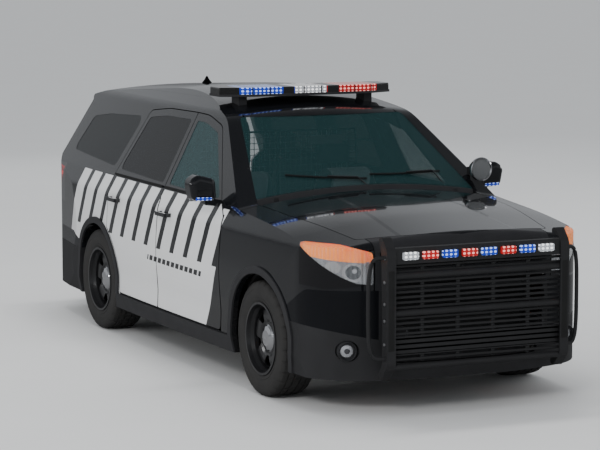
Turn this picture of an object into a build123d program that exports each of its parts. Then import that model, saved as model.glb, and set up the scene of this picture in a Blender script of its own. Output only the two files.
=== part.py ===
"""A full-size police sport utility vehicle, as separate panels, glass, wheels, cabin and running gear.

The row frame has +X to the nose, +Y to the driver's left and +Z up. The origin is on the ground, at the
middle of the overall length on the centreline. All values are millimetres and degrees.
"""

from build123d import *

import math
import os

os.makedirs("parts", exist_ok=True)

# Driving dimensions: lengths along the vehicle
wheelbase = 2860.0
front_overhang = 950.0  # front axle to the bumper face
rear_overhang = 1196.0  # rear axle to the bumper face
push_bumper_reach = 112.0  # push bumper's face ahead of the front bumper
overall_length = front_overhang + wheelbase + rear_overhang + push_bumper_reach
nose_x = overall_length / 2 - push_bumper_reach
tail_x = -overall_length / 2
front_axle_x = nose_x - front_overhang
rear_axle_x = front_axle_x - wheelbase

# Driving dimensions: the body's shells
half_width = 1002.0  # at the doors' widest point
roof_height = 1788.0
sill_height = 215.0  # underside of the sills and bumpers
crown_radius = 5500.0  # how the roof bows across
gap = 6.0  # shut lines between fixed panels and round the lids
door_gap = 8.0  # shut lines at the doors' rear edges
skin = 34.0  # thickness of bonnet, wings and bumpers
glass = 5.0  # thickness of the windows
glass_drop = 2.0  # how far the windows lie below the skin
seat_gap = 0.3  # between pieces that lie on each other
clearance = 6.0  # between moving pieces

# Driving dimensions: wheels
tyre_radius = 363.0
tyre_width = 245.0
rim_seat = 218.0  # radius of the tyre's bead seats
half_track = 845.0
arch_radius = 408.0
wheelhouse_wall = 22.0
front_wheelhouse_y = 540.0  # inner walls of the wheelhouses
rear_wheelhouse_y = 712.0
moulding_width = 46.0
moulding_rise = 12.0
kingpin_y = 790.0

# Stations along the body, from the axles
hood_rear_x = front_axle_x - 363.0
cowl_x = front_axle_x - 413.0
windshield_foot_x = cowl_x - 44.0
header_x = front_axle_x - 1153.0
door_front_x = front_axle_x - 583.0
b_pillar_x = front_axle_x - 1650.0
door_rear_x = rear_axle_x + 232.0
roof_peak_x = front_axle_x - 1918.0
roof_rear_x = rear_axle_x - 728.0
gate_roof_x = rear_axle_x - 800.0  # front edge of the tailgate, in the roof

# Heights
axle_z = tyre_radius
cowl_z = 1218.0
header_z = roof_height - 97.0
belt_z = 1168.0
lip_z = 1075.0
door_foot_z = 332.0
door_head_z = roof_height - 143.0
bumper_top_z = 655.0
floor_z = 372.0
cargo_floor_z = 680.0
floor_skin = 42.0

# The roof's long seams and the bonnet's sides
roof_seam_y = 560.0

# Hinges: pins, their bores, and where the doors' axes lie
pin_radius = 6.0
pin_bore = pin_radius + 0.08
door_lip = 40.0  # door's front edge ahead of its axis
hinge_inset = 30.0  # door axes inboard of the skin's widest line
door_skin = 7.0
door_land = 22.0  # how far the doors' outer skin laps past the inner door


def outline(plane, rows):
    """The closed face on a plane whose corners are rows of (across, up, corner radius)."""
    with BuildSketch(plane) as shape:
        with BuildLine():
            FilletPolyline(*[row[:2] for row in rows], radius=[row[2] for row in rows], close=True)
        make_face()
    return shape.sketch


def inset(rows, distance):
    """The same outline with every edge moved inward, or outward where distance is negative."""
    turned = sum(a[0] * b[1] - b[0] * a[1] for a, b in zip(rows, rows[1:] + rows[:1]))
    side = distance if turned > 0 else -distance
    moved = []
    for before, here, after in zip(rows[-1:] + rows[:-1], rows, rows[1:] + rows[:1]):
        first = (Vector(*here[:2]) - Vector(*before[:2])).normalized()
        second = (Vector(*after[:2]) - Vector(*here[:2])).normalized()
        mitre = Vector(-first.Y - second.Y, first.X + second.X)
        mitre = mitre * (side * 2 / mitre.dot(mitre))
        moved.append((here[0] + mitre.X, here[1] + mitre.Y, here[2]))
    return moved


def both_ways(rows):
    """Half an outline of (y, z, radius) rows, completed across the centreline."""
    return rows + [(-y, z, radius) for y, z, radius in reversed(rows)]


def side_prism(rows, inner=0.0, outer=1250.0):
    """An (x, z, radius) outline as a block from y = inner to y = outer."""
    with BuildPart() as block:
        extrude(outline(Plane.XZ.offset(-inner), rows), amount=inner - outer)
    return block.part


def front_prism(rows, back, front):
    """A (y, z, radius) outline as a block from x = back to x = front."""
    with BuildPart() as block:
        extrude(outline(Plane.YZ.offset(back), rows), amount=front - back)
    return block.part


def top_prism(rows, low, high):
    """An (x, y, radius) outline as a block from z = low to z = high."""
    with BuildPart() as block:
        extrude(outline(Plane.XY.offset(low), rows), amount=high - low)
    return block.part


def slab(x, y, z):
    """A plain block given by its three ranges."""
    return top_prism([(x[0], y[0], 0), (x[1], y[0], 0), (x[1], y[1], 0), (x[0], y[1], 0)], z[0], z[1])


def drum(x, z, radius, inner, outer):
    """A cylinder along Y, centred at (x, z), from y = inner to y = outer."""
    with BuildPart() as block:
        with BuildSketch(Plane.XZ.offset(-inner)):
            with Locations((x, z)):
                Circle(radius)
        extrude(amount=inner - outer)
    return block.part


def post(x, y, radius, low, high):
    """A cylinder along Z."""
    with BuildPart() as block:
        with BuildSketch(Plane.XY.offset(low)):
            with Locations((x, y)):
                Circle(radius)
        extrude(amount=high - low)
    return block.part


# The body's section at mid-length, from sill to roof, as rows of (half-width, height, corner radius)
skin_section = [
    (half_width - 42, 100.0, 0.0),
    (half_width - 10, door_foot_z, 60.0),
    (half_width - 14, 455.0, 500.0),
    (half_width + 4, 720.0, 1500.0),
    (half_width - 14, 1012.0, 200.0),
    (half_width - 60, 1135.0, 90.0),
    (672.0, roof_height - 120, 110.0),
    (384.0, roof_height + 62, 0.0),
]
door_depth = 98.0  # thickness of a door below its window
frame_depth = 46.0  # thickness of a door's window frame
wall_depth = 62.0  # from the doors' inner faces to the cabin wall
door_section = [
    (half_width - door_depth - 32, 100.0, 0.0),
    (half_width - door_depth, 720.0, 0.0),
    (half_width - door_depth - 14, 1080.0, 120.0),
    (672.0 - frame_depth, roof_height - 120, 90.0),
    (384.0 - frame_depth, roof_height + 62, 0.0),
]
cabin_section = [(y - wall_depth, z, radius) for y, z, radius in door_section]
section_reach = 1300.0  # how far a side's solid runs past the centreline
bow_reach = 2700.0
side_bow = 81.0  # how far the sides fall in at bow_reach ahead of and behind mid-length


def side_y(x, widest=half_width):
    """The half-width at station x of a line on the side that is widest at mid-length."""
    return widest - side_bow * (x / bow_reach) ** 2


def left_side(section, grow=0.0):
    """Everything to the right of a section's left-hand line, bowed in plan: a loft of three sections."""
    rows = section + [(-section_reach, section[-1][1], 0.0), (-section_reach, section[0][1], 0.0)]
    if grow:
        rows = inset(rows, -grow)
    with BuildPart() as left:
        for x in (-bow_reach, 0.0, bow_reach):
            moved = [(side_y(x, y), z, radius) for y, z, radius in rows]
            with BuildSketch(Plane.YZ.offset(x)):
                add(outline(Plane.XY, moved))
        loft()
    return left.part


def straight_side(section, grow=0.0):
    """Everything to the right of a section's left-hand line, straight from nose to tail."""
    rows = section + [(-section_reach, section[-1][1], 0.0), (-section_reach, section[0][1], 0.0)]
    return front_prism(inset(rows, -grow) if grow else rows, tail_x - 100, nose_x + 100)


# The body's profile on the centreline. Columns: along, up, corner radius.
profile_table = [
    (nose_x - 45.0, -300.0, 0.0),
    (nose_x - 10.0, 300.0, 300.0),
    (nose_x, 560.0, 250.0),
    (nose_x - 28.0, 770.0, 180.0),
    (nose_x - 105.0, lip_z, 60.0),
    (front_axle_x + 250.0, lip_z + 90.0, 5500.0),
    (cowl_x, cowl_z, 60.0),
    (header_x, header_z, 420.0),
    (roof_peak_x, roof_height + 30.0, 5000.0),
    (roof_rear_x, roof_height - 73.0, 1500.0),
    (roof_rear_x - 250.0, roof_height - 116.0, 12.0),
    (roof_rear_x - 205.0, roof_height - 150.0, 15.0),
    (tail_x + 83.0, belt_z, 80.0),
    (tail_x + 50.0, bumper_top_z + 50.0, 25.0),
    (tail_x + 5.0, bumper_top_z, 25.0),
    (tail_x, 480.0, 140.0),
    (tail_x + 35.0, -300.0, 0.0),
]
# The same profile without the spoiler's lip and the bumper's ledge, for the shells' inner faces
plain_profile_table = (
    profile_table[:-7]
    + [(roof_rear_x - 215.0, roof_height - 108.0, 60.0)]
    + [(tail_x + 83.0, belt_z, 80.0), (tail_x + 50.0, bumper_top_z, 60.0), (tail_x + 35.0, -300.0, 0.0)]
)
crown_sweep = 19.0


def crowned(rows):
    """A profile on the centreline, swept across the body about a lengthwise axis far below it."""
    centre_z = roof_height - crown_radius
    turn = math.radians(crown_sweep)
    start = Plane(
        origin=(0, 0, centre_z), x_dir=(1, 0, 0), z_dir=(0, -math.cos(turn), math.sin(turn))
    )
    with BuildPart() as solid:
        revolve(
            outline(start, [(x, z - centre_z, radius) for x, z, radius in rows]),
            axis=Axis((0, 0, centre_z), (1, 0, 0)),
            revolution_arc=2 * crown_sweep,
        )
    return solid.part


nose_bow = 95.0  # how far the nose falls back at nose_half
nose_half = 650.0
nose_corner = 420.0
nose_flank = 85.5  # direction of the front flanks, from straight across
tail_bow = 45.0
tail_half = 720.0
tail_corner = 200.0
tail_flank = 82.0
plan_reach = 1120.0  # beyond the widest point


def plan_solid(grow=0.0):
    """The body's outline from above, as a block: bowed nose and tail with round corners."""
    nose_turn = math.degrees(2 * math.atan(nose_bow / nose_half))
    tail_turn = math.degrees(2 * math.atan(tail_bow / tail_half))
    nose, tail = nose_x + grow, tail_x - grow
    nose_bend, tail_bend = nose_flank - nose_turn, tail_flank - tail_turn
    with BuildPart() as block:
        with BuildSketch(Plane.XY.offset(sill_height)):
            with BuildLine():
                front = ThreePointArc((nose - nose_bow, -nose_half), (nose, 0), (nose - nose_bow, nose_half))
                front_left = JernArc(front @ 1, front % 1, nose_corner + grow, nose_bend)
                left_nose = front_left @ 1 + (front_left % 1) * (
                    (plan_reach - (front_left @ 1).Y) / (front_left % 1).Y
                )
                rear = ThreePointArc((tail + tail_bow, tail_half), (tail, 0), (tail + tail_bow, -tail_half))
                rear_left = JernArc(rear @ 0, (rear % 0) * -1, tail_corner + grow, -tail_bend)
                left_tail = rear_left @ 1 + (rear_left % 1) * (
                    (plan_reach - (rear_left @ 1).Y) / (rear_left % 1).Y
                )
                Polyline(front_left @ 1, left_nose, left_tail, rear_left @ 1)
                front_right = JernArc(front @ 0, (front % 0) * -1, nose_corner + grow, -nose_bend)
                rear_right = JernArc(rear @ 1, rear % 1, tail_corner + grow, tail_bend)
                Polyline(
                    front_right @ 1,
                    (left_nose.X, -left_nose.Y),
                    (left_tail.X, -left_tail.Y),
                    rear_right @ 1,
                )
            make_face()
        extrude(amount=roof_height + 100 - sill_height)
    return block.part


def body_solid(grow=0.0):
    """The whole body's outside, or the same shape drawn in by -grow."""
    side = left_side(skin_section, grow)
    with BuildPart() as body:
        add(crowned(inset(plain_profile_table, -grow) if grow else profile_table))
        add(side, mode=Mode.INTERSECT)
        mirror(side, about=Plane.XZ, mode=Mode.INTERSECT)
        add(plan_solid(grow), mode=Mode.INTERSECT)
    return body.part


envelope = body_solid()
envelope_core = body_solid(-skin)
with BuildPart() as envelope_shell:
    add(envelope)
    add(envelope_core, mode=Mode.SUBTRACT)
left_box = slab((-3000, 3000), (0, 1300), (0, 2000))
with BuildPart() as left_half:
    add(envelope)
    add(left_box, mode=Mode.INTERSECT)
with BuildPart() as left_shell:
    add(envelope_shell.part)
    add(left_box, mode=Mode.INTERSECT)

outer_side = left_side(skin_section)
cabin_side = straight_side(cabin_section)
door_side = straight_side(door_section)
door_recess_side = straight_side(door_section, -clearance)
skin_side = left_side(skin_section, -skin - seat_gap)
door_skin_side = left_side(skin_section, -door_skin)
glass_top_side = left_side(skin_section, -glass_drop)
glass_foot_side = left_side(skin_section, -glass_drop - glass)

# Door outlines, seen from the left. Columns: along, up, corner radius.
front_door_table = [
    (b_pillar_x + door_gap, door_foot_z, 12.0),
    (door_front_x, door_foot_z, 30.0),
    (door_front_x, 1060.0, 40.0),
    (330.0, 1590.0, 160.0),
    (60.0, door_head_z - 4, 700.0),
    (b_pillar_x + door_gap, door_head_z, 10.0),
]
rear_door_table = [
    (-880.0, door_foot_z, 12.0),
    (b_pillar_x, door_foot_z, 12.0),
    (b_pillar_x, door_head_z, 10.0),
    (-650.0, door_head_z - 6, 900.0),
    (-985.0, door_head_z - 40, 60.0),
    (door_rear_x, 1140.0, 60.0),
    (door_rear_x, 700.0, 0.0),
]
front_window_table = [
    (770.0, belt_z - 6, 12.0),
    (300.0, 1548.0, 60.0),
    (60.0, 1594.0, 500.0),
    (b_pillar_x + 62, 1597.0, 15.0),
    (b_pillar_x + 62, belt_z + 6, 20.0),
]
rear_window_table = [
    (b_pillar_x - 52, belt_z + 7, 20.0),
    (b_pillar_x - 52, 1597.0, 15.0),
    (-650.0, 1592.0, 900.0),
    (-945.0, 1562.0, 50.0),
    (-1070.0, belt_z + 22, 40.0),
]
quarter_window_table = [
    (-1205.0, belt_z + 30, 40.0),
    (-1075.0, 1560.0, 60.0),
    (-1750.0, 1530.0, 900.0),
    (-2090.0, 1490.0, 60.0),
    (-2210.0, belt_z + 70, 40.0),
]
seal_inset = 62.0  # doors' edges to the openings behind them
front_opening_table = [
    (b_pillar_x + 75, door_foot_z + seal_inset, 60.0),
    (door_front_x - 75, door_foot_z + seal_inset, 60.0),
    (door_front_x - 75, 1030.0, 60.0),
    (300.0, 1520.0, 120.0),
    (60.0, door_head_z - seal_inset - 4, 300.0),
    (b_pillar_x + 75, door_head_z - seal_inset, 50.0),
]
rear_opening_table = [
    (-790.0, door_foot_z + seal_inset, 60.0),
    (b_pillar_x - 90, door_foot_z + seal_inset, 60.0),
    (b_pillar_x - 90, door_head_z - seal_inset, 50.0),
    (-650.0, door_head_z - seal_inset - 6, 300.0),
    (-935.0, door_head_z - 110, 60.0),
    (-1060.0, 1130.0, 60.0),
    (-1060.0, 850.0, 120.0),
]


def door_axis(front_x):
    """Where a door's vertical axis stands, for the door whose front edge is at front_x."""
    return front_x - door_lip, side_y(front_x - door_lip) - hinge_inset


front_door_axis = door_axis(door_front_x)
rear_door_axis = door_axis(b_pillar_x)
lip_reach = math.hypot(door_lip, hinge_inset)
scoop_radius = lip_reach + clearance
hinge_levels = (560.0, 860.0)
knuckle_radius = 10.0
knuckle_height = 12.0
boss_height = 18.0
hinge_pitch = boss_height / 2 + clearance + knuckle_height  # hinge's half height
arm_width = 15.0  # its corner passes inside the notch at full swing
arm_reach = 84.0  # from the pins inboard to the pillars


def door_scoops(axis):
    """The room that a door's front lip swings through."""
    return post(*axis, scoop_radius, door_foot_z - gap, 1075.0)


def fixed_hinges(axis):
    """The pillar's half of a door's two hinges: forked arms with their pins."""
    with BuildPart() as hinges:
        for level in hinge_levels:
            for low in (level - hinge_pitch, level + hinge_pitch - knuckle_height):
                add(post(*axis, knuckle_radius, low, low + knuckle_height))
                add(
                    slab(
                        (axis[0], axis[0] + arm_width),
                        (axis[1] - arm_reach, axis[1]),
                        (low, low + knuckle_height),
                    )
                )
            add(post(*axis, pin_radius, level - hinge_pitch, level + hinge_pitch))
    return hinges.part


def hinge_notches(axis):
    """The pockets in a door's front edge, round the pillar's halves of its hinges."""
    with BuildPart() as notches:
        for level in hinge_levels:
            low, high = level - hinge_pitch - clearance, level + hinge_pitch + clearance
            add(
                slab(
                    (axis[0] - knuckle_radius - clearance - 2, axis[0] + 60),
                    (axis[1] - 120, axis[1] + knuckle_radius + 5.5),
                    (low, high),
                )
            )
    return notches.part


def hinge_bosses(axis):
    """The door's half of its hinges: bored bosses on short webs."""
    with BuildPart() as bosses:
        for level in hinge_levels:
            low, high = level - boss_height / 2, level + boss_height / 2
            add(post(*axis, knuckle_radius + 2, low, high))
            add(slab((axis[0] - 40, axis[0]), (axis[1] - 12, axis[1] + 12), (low, high)))
            add(post(*axis, pin_bore, low, high), mode=Mode.SUBTRACT)
    return bosses.part


def door_shell(table, axis, window):
    """A left-hand door without trim: skin with a lapping edge, inner door, window hole and hinge bosses."""
    land = inset(table, door_land)
    hinge_edge = axis[0] - clearance - 2
    core_rows = [(min(x, hinge_edge), z, radius) for x, z, radius in land]
    wheel_cut = arch_radius + moulding_width + gap + door_gap
    with BuildPart() as land_room:
        add(side_prism(inset(table, -30), 400))
        add(side_prism(core_rows, 300), mode=Mode.SUBTRACT)
        if table is rear_door_table:
            add(drum(rear_axle_x, axle_z, wheel_cut + door_land, 300, 1250))
        add(door_skin_side, mode=Mode.INTERSECT)
    with BuildPart() as door:
        add(side_prism(table, 500))
        if table is rear_door_table:
            add(drum(rear_axle_x, axle_z, wheel_cut, 400, 1250), mode=Mode.SUBTRACT)
        add(side_prism(window, 400), mode=Mode.SUBTRACT)
        add(door_side, mode=Mode.SUBTRACT)
        add(outer_side, mode=Mode.INTERSECT)
        add(land_room.part, mode=Mode.SUBTRACT)
        add(hinge_notches(axis), mode=Mode.SUBTRACT)
        add(hinge_bosses(axis))
    return door.part


def window_pane(window):
    """The glass in one of the left side's windows."""
    with BuildPart() as pane:
        add(side_prism(inset(window, seat_gap), 400))
        add(glass_top_side, mode=Mode.INTERSECT)
        add(glass_foot_side, mode=Mode.SUBTRACT)
    return pane.part


def handle(rear_x, level):
    """A pull handle on two feet, standing off the door's skin."""
    length, height, off = 190.0, 26.0, 34.0
    base = side_y(rear_x) - 22
    rows = [
        (rear_x, base, 0),
        (rear_x, base + 22 + off, 14),
        (rear_x + length, base + 22 + off, 14),
        (rear_x + length, base, 0),
        (rear_x + length - 26, base, 0),
        (rear_x + length - 30, base + 8 + off, 10),
        (rear_x + 30, base + 8 + off, 10),
        (rear_x + 26, base, 0),
    ]
    return top_prism(rows, level - height / 2, level + height / 2)


def mirror_housing():
    """The left door mirror: a rounded housing on a short arm from the sail."""
    near_y, mirror_x = side_y(0) - 42, door_front_x - 172
    shell_rows = [
        (near_y, 1150, 30),
        (near_y + 168, 1160, 45),
        (near_y + 192, 1290, 55),
        (near_y + 130, 1326, 45),
        (near_y + 10, 1296, 40),
    ]
    arm_rows = [
        (near_y - 60, 1112, 0),
        (near_y + 76, 1128, 12),
        (near_y + 76, 1172, 0),
        (near_y + 40, 1172, 0),
        (near_y - 60, 1152, 0),
    ]
    with BuildPart() as housing:
        add(front_prism(shell_rows, mirror_x - 18, mirror_x + 92))
        fillet(housing.edges().group_by(Axis.X)[-1], 36)
        add(front_prism(arm_rows, mirror_x, mirror_x + 58))
    return housing.part


def pair(left):
    """A left-hand piece with its twin on the right."""
    with BuildPart() as both:
        add(left)
        mirror(left, about=Plane.XZ)
    return both.part


def twin(left):
    """The right-hand twin of a left-hand piece."""
    with BuildPart() as right:
        mirror(left, about=Plane.XZ)
    return right.part


# Bonnet, from above. Columns: along, across, corner radius.
hood_edge_table = [
    (nose_x - 118.0, 0.0, 0.0),
    (nose_x - 150.0, 330.0, 500.0),
    (nose_x - 232.0, 655.0, 40.0),
    (hood_rear_x + 380.0, 765.0, 700.0),
    (hood_rear_x, 788.0, 12.0),
    (hood_rear_x, 0.0, 0.0),
]
# The tailgate, from behind. Columns: across, up, corner radius.
gate_table = [
    (roof_seam_y, roof_height + 60, 0.0),
    (roof_seam_y, 1652.0, 40.0),
    (700.0, 1290.0, 200.0),
    (728.0, 1080.0, 60.0),
    (700.0, bumper_top_z + gap, 30.0),
]
gate_window_table = [
    (520.0, 1600.0, 50.0),
    (640.0, 1280.0, 80.0),
    (640.0, belt_z + 36, 40.0),
]
windshield_table = [
    (598.0, 1648.0, 40.0),
    (806.0, 1130.0, 20.0),
]
headlamp_table = [
    (612.0, 792.0, 20.0),
    (612.0, 985.0, 20.0),
    (770.0, 1030.0, 60.0),
    (1100.0, 1042.0, 0.0),
    (1100.0, 800.0, 0.0),
    (860.0, 765.0, 40.0),
]
headlamp_rear_x = nose_x - 420.0
tail_lamp_table = [
    (738.0, 842.0, 20.0),
    (738.0, 1075.0, 40.0),
    (790.0, 1128.0, 30.0),
    (1100.0, 1140.0, 0.0),
    (1100.0, 842.0, 0.0),
]
tail_lamp_front_x = tail_x + 330.0
grille_half = 600.0
grille_foot_z, grille_head_z = 772.0, 1012.0
front_bumper_rows = [
    (front_axle_x + 200.0, sill_height - 60, 0.0),
    (front_axle_x + 330.0, 600.0, 0.0),
    (headlamp_rear_x + 60, 752.0, 80.0),
    (nose_x + 100.0, 762.0, 0.0),
    (nose_x + 100.0, sill_height - 60, 0.0),
]
rear_bumper_rows = [
    (tail_x - 100.0, sill_height - 60, 0.0),
    (tail_x - 100.0, bumper_top_z, 0.0),
    (rear_axle_x - 560.0, bumper_top_z, 60.0),
    (rear_axle_x - 340.0, 585.0, 0.0),
    (rear_axle_x - 300.0, sill_height - 60, 0.0),
]
fender_rows = [
    (door_front_x + gap + 1.3, door_foot_z - gap, 0.0),
    (door_front_x + gap + 1.3, 1068.0, 30.0),
    (door_front_x - 42, 1112.0, 8.0),
    (hood_rear_x - seat_gap, 1112.0, 0.0),
    (hood_rear_x - seat_gap, 1500.0, 0.0),
    (nose_x + 100.0, 1500.0, 0.0),
    (nose_x + 100.0, 100.0, 0.0),
    (door_front_x + 60, 100.0, 0.0),
    (door_front_x + 60, door_foot_z - gap, 0.0),
]
hood_rows = hood_edge_table + [(x, -y, radius) for x, y, radius in reversed(hood_edge_table[1:-1])]
hood_room = top_prism(inset(hood_rows, -gap), 900, 1500)
front_arch = drum(front_axle_x, axle_z, arch_radius, front_wheelhouse_y, 1250)
rear_arch = drum(rear_axle_x, axle_z, arch_radius, rear_wheelhouse_y, 1250)
gate_rows = both_ways(gate_table)
gate_room = front_prism(inset(gate_rows, -gap), tail_x - 100, gate_roof_x + gap)
windshield_rows = both_ways(windshield_table)
windshield_hole = front_prism(windshield_rows, header_x - 60, windshield_foot_x)
lamp_rows = {"head": headlamp_table, "tail": tail_lamp_table}
headlamp_hole = front_prism(headlamp_table, headlamp_rear_x, nose_x + 100)
tail_lamp_hole = front_prism(tail_lamp_table, tail_x - 100, tail_lamp_front_x)
front_bumper_hole = side_prism(inset(front_bumper_rows, -seat_gap))
rear_bumper_hole = side_prism(inset(rear_bumper_rows, -seat_gap))

# Doors
doors = {}
for name, table, window, axis, handle_x in (
    ("front", front_door_table, front_window_table, front_door_axis, b_pillar_x + 60),
    ("rear", rear_door_table, rear_window_table, rear_door_axis, door_rear_x + 60),
):
    with BuildPart() as shell:
        add(door_shell(table, axis, window))
        if name == "front":
            add(door_scoops(rear_door_axis), mode=Mode.SUBTRACT)
            add(mirror_housing())
        add(handle(handle_x, 985.0))
    doors[name] = shell.part

# Body side: pillars, sill, roof rail and rear quarter in one
with BuildPart() as side_wall:
    add(
        side_prism(
            [
                (tail_x - 50, sill_height - 50, 0),
                (tail_x - 50, roof_height + 100, 0),
                (header_x - 200, roof_height + 100, 0),
                (hood_rear_x - gap, 1260, 0),
                (hood_rear_x - gap, 1112 + seat_gap, 0),
                (door_front_x + 90, 1112 + seat_gap, 0),
                (door_front_x + 90, sill_height - 50, 0),
            ],
            roof_seam_y + seat_gap,
        )
    )
    add(cabin_side, mode=Mode.SUBTRACT)
    add(side_prism(inset(front_opening_table, 0)), mode=Mode.SUBTRACT)
    add(side_prism(inset(rear_opening_table, 0)), mode=Mode.SUBTRACT)
    add(side_prism(quarter_window_table), mode=Mode.SUBTRACT)
    add(left_half.part, mode=Mode.INTERSECT)
with BuildPart() as door_recess:
    add(side_prism(inset(front_door_table, -gap), 500))
    with BuildPart(mode=Mode.PRIVATE) as rear_recess:
        add(side_prism(inset(rear_door_table, -gap), 500))
        add(drum(rear_axle_x, axle_z, arch_radius + moulding_width + gap, 400, 1300), mode=Mode.SUBTRACT)
    add(rear_recess.part)
    add(door_recess_side, mode=Mode.SUBTRACT)
with BuildPart() as fender_skin_room:
    add(side_prism(fender_rows, 700))
    add(skin_side, mode=Mode.SUBTRACT)
with BuildPart() as body_side:
    add(side_wall.part)
    add(door_recess.part, mode=Mode.SUBTRACT)
    add(door_scoops(front_door_axis), mode=Mode.SUBTRACT)
    add(fender_skin_room.part, mode=Mode.SUBTRACT)
    add(rear_arch, mode=Mode.SUBTRACT)
    add(gate_room, mode=Mode.SUBTRACT)
    add(windshield_hole, mode=Mode.SUBTRACT)
    add(tail_lamp_hole, mode=Mode.SUBTRACT)
    add(rear_bumper_hole, mode=Mode.SUBTRACT)
    add(fixed_hinges(front_door_axis))
    add(fixed_hinges(rear_door_axis))


def sheet(foot, head, drop, thickness):
    """A crowned pane below the straight line from foot to head on the centreline."""
    along = Vector(head[0] - foot[0], head[1] - foot[1]).normalized()
    inward = Vector(along.Y, -along.X) if along.X < 0 else Vector(-along.Y, along.X)
    inward = inward if inward.Y < 0 else inward * -1
    rows = []
    for point, depth in ((foot, drop), (head, drop), (head, drop + thickness), (foot, drop + thickness)):
        rows.append((point[0] + inward.X * depth, point[1] + inward.Y * depth, 0))
    return crowned(rows)


# Roof panel and the header over the windshield
with BuildPart() as roof_panel:
    add(envelope_shell.part)
    add(
        slab(
            (gate_roof_x + gap, header_x + 110),
            (seat_gap - roof_seam_y, roof_seam_y - seat_gap),
            (1540, roof_height + 50),
        ),
        mode=Mode.INTERSECT,
    )
    add(windshield_hole, mode=Mode.SUBTRACT)

# The tailgate turns about an axis below the roof skin. Columns: half-width, radius of the room for its lip.
gate_axis_x = gate_roof_x - door_lip
gate_axis_z = roof_height - 73 - 19 - 37
gate_lip_table = [(280.0, 60.5), (450.0, 56.0), (roof_seam_y + 1, 50.5)]
gate_hinge_y = 290.0
with BuildPart() as gate_lip_room:
    for half, radius in gate_lip_table:
        add(drum(gate_axis_x, gate_axis_z, radius, -half, half))
with BuildPart() as roof_scooped:
    add(roof_panel.part)
    for half, radius in gate_lip_table:
        add(drum(gate_axis_x, gate_axis_z, radius, -half, half), mode=Mode.SUBTRACT)


def gate_arm(y):
    """A fixed arm that carries the tailgate's pin from under the roof."""
    half = hinge_pitch
    rows = [
        (gate_axis_x - 10, gate_axis_z - 8, 6),
        (gate_axis_x - 10, gate_axis_z + 10, 9),
        (gate_axis_x + 10, gate_axis_z + 10, 9),
        (gate_axis_x + 12, gate_axis_z - 30, 8),
        (gate_axis_x + 62, gate_axis_z - 50, 12),
        (gate_axis_x + 72, gate_axis_z + 20, 0),
        (gate_axis_x + 150, gate_axis_z + 26, 0),
        (gate_axis_x + 130, gate_axis_z - 78, 20),
        (gate_axis_x - 2, gate_axis_z - 66, 20),
    ]
    with BuildPart() as arm:
        add(side_prism(rows, y - half, y - half + knuckle_height))
        add(side_prism(rows, y + half - knuckle_height, y + half))
        add(drum(gate_axis_x, gate_axis_z, pin_radius, y - half, y + half))
    return arm.part


with BuildPart() as roof:
    add(roof_scooped.part)
    for y in (-gate_hinge_y, gate_hinge_y):
        add(gate_arm(y))

# Tailgate
gate_skin = 12.0
gate_depth = 60.0
gate_core = crowned(inset(plain_profile_table, gate_depth))
with BuildPart() as gate_land:
    add(front_prism(inset(gate_rows, -20), tail_x - 200, gate_roof_x + 50))
    add(
        front_prism(inset(gate_rows, 26), tail_x - 300, gate_axis_x - clearance - 2),
        mode=Mode.SUBTRACT,
    )
    add(crowned(inset(plain_profile_table, gate_skin)), mode=Mode.INTERSECT)
with BuildPart() as gate_boss:
    for y in (-gate_hinge_y, gate_hinge_y):
        low, high = y - boss_height / 2, y + boss_height / 2
        add(drum(gate_axis_x, gate_axis_z, knuckle_radius + 2, low, high))
        add(slab((gate_axis_x - 40, gate_axis_x), (low, high), (gate_axis_z - 12, gate_axis_z + 12)))
        add(drum(gate_axis_x, gate_axis_z, pin_bore, low, high), mode=Mode.SUBTRACT)
with BuildPart() as liftgate:
    add(envelope)
    add(front_prism(gate_rows, tail_x - 200, gate_roof_x), mode=Mode.INTERSECT)
    add(gate_core, mode=Mode.SUBTRACT)
    add(front_prism(both_ways(gate_window_table), tail_x - 200, tail_x + 400), mode=Mode.SUBTRACT)
    add(gate_land.part, mode=Mode.SUBTRACT)
    for y in (-gate_hinge_y, gate_hinge_y):
        half = hinge_pitch + clearance
        add(
            slab(
                (gate_axis_x - 20, gate_axis_x + 10),
                (y - half, y + half),
                (gate_axis_z - 80, gate_axis_z + knuckle_radius + 5.5),
            ),
            mode=Mode.SUBTRACT,
        )
    add(gate_boss.part)

# Bonnet, on two arms that reach back under the cowl
hood_axis_x = hood_rear_x - 60.0
hood_axis_z = 1144.0
hood_hinge_y = 650.0


def hood_arm(y):
    """One of the bonnet's arms, with the bore for its pin."""
    half = boss_height / 2
    rows = [
        (hood_axis_x - 12, hood_axis_z - 12, 11),
        (hood_axis_x - 12, hood_axis_z + 12, 11),
        (hood_axis_x + 40, hood_axis_z + 12, 0),
        (hood_rear_x + 20, hood_axis_z + 20, 0),
        (hood_rear_x + 110, hood_axis_z + 12, 0),
        (hood_rear_x + 110, hood_axis_z - 16, 8),
        (hood_axis_x + 60, hood_axis_z - 16, 8),
    ]
    with BuildPart() as arm:
        add(side_prism(rows, y - half, y + half))
        add(drum(hood_axis_x, hood_axis_z, pin_bore, y - half, y + half), mode=Mode.SUBTRACT)
    return arm.part


with BuildPart() as hood:
    add(envelope_shell.part)
    add(top_prism(hood_rows, 900, 1500), mode=Mode.INTERSECT)
    for y in (-hood_hinge_y, hood_hinge_y):
        add(hood_arm(y))

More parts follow.
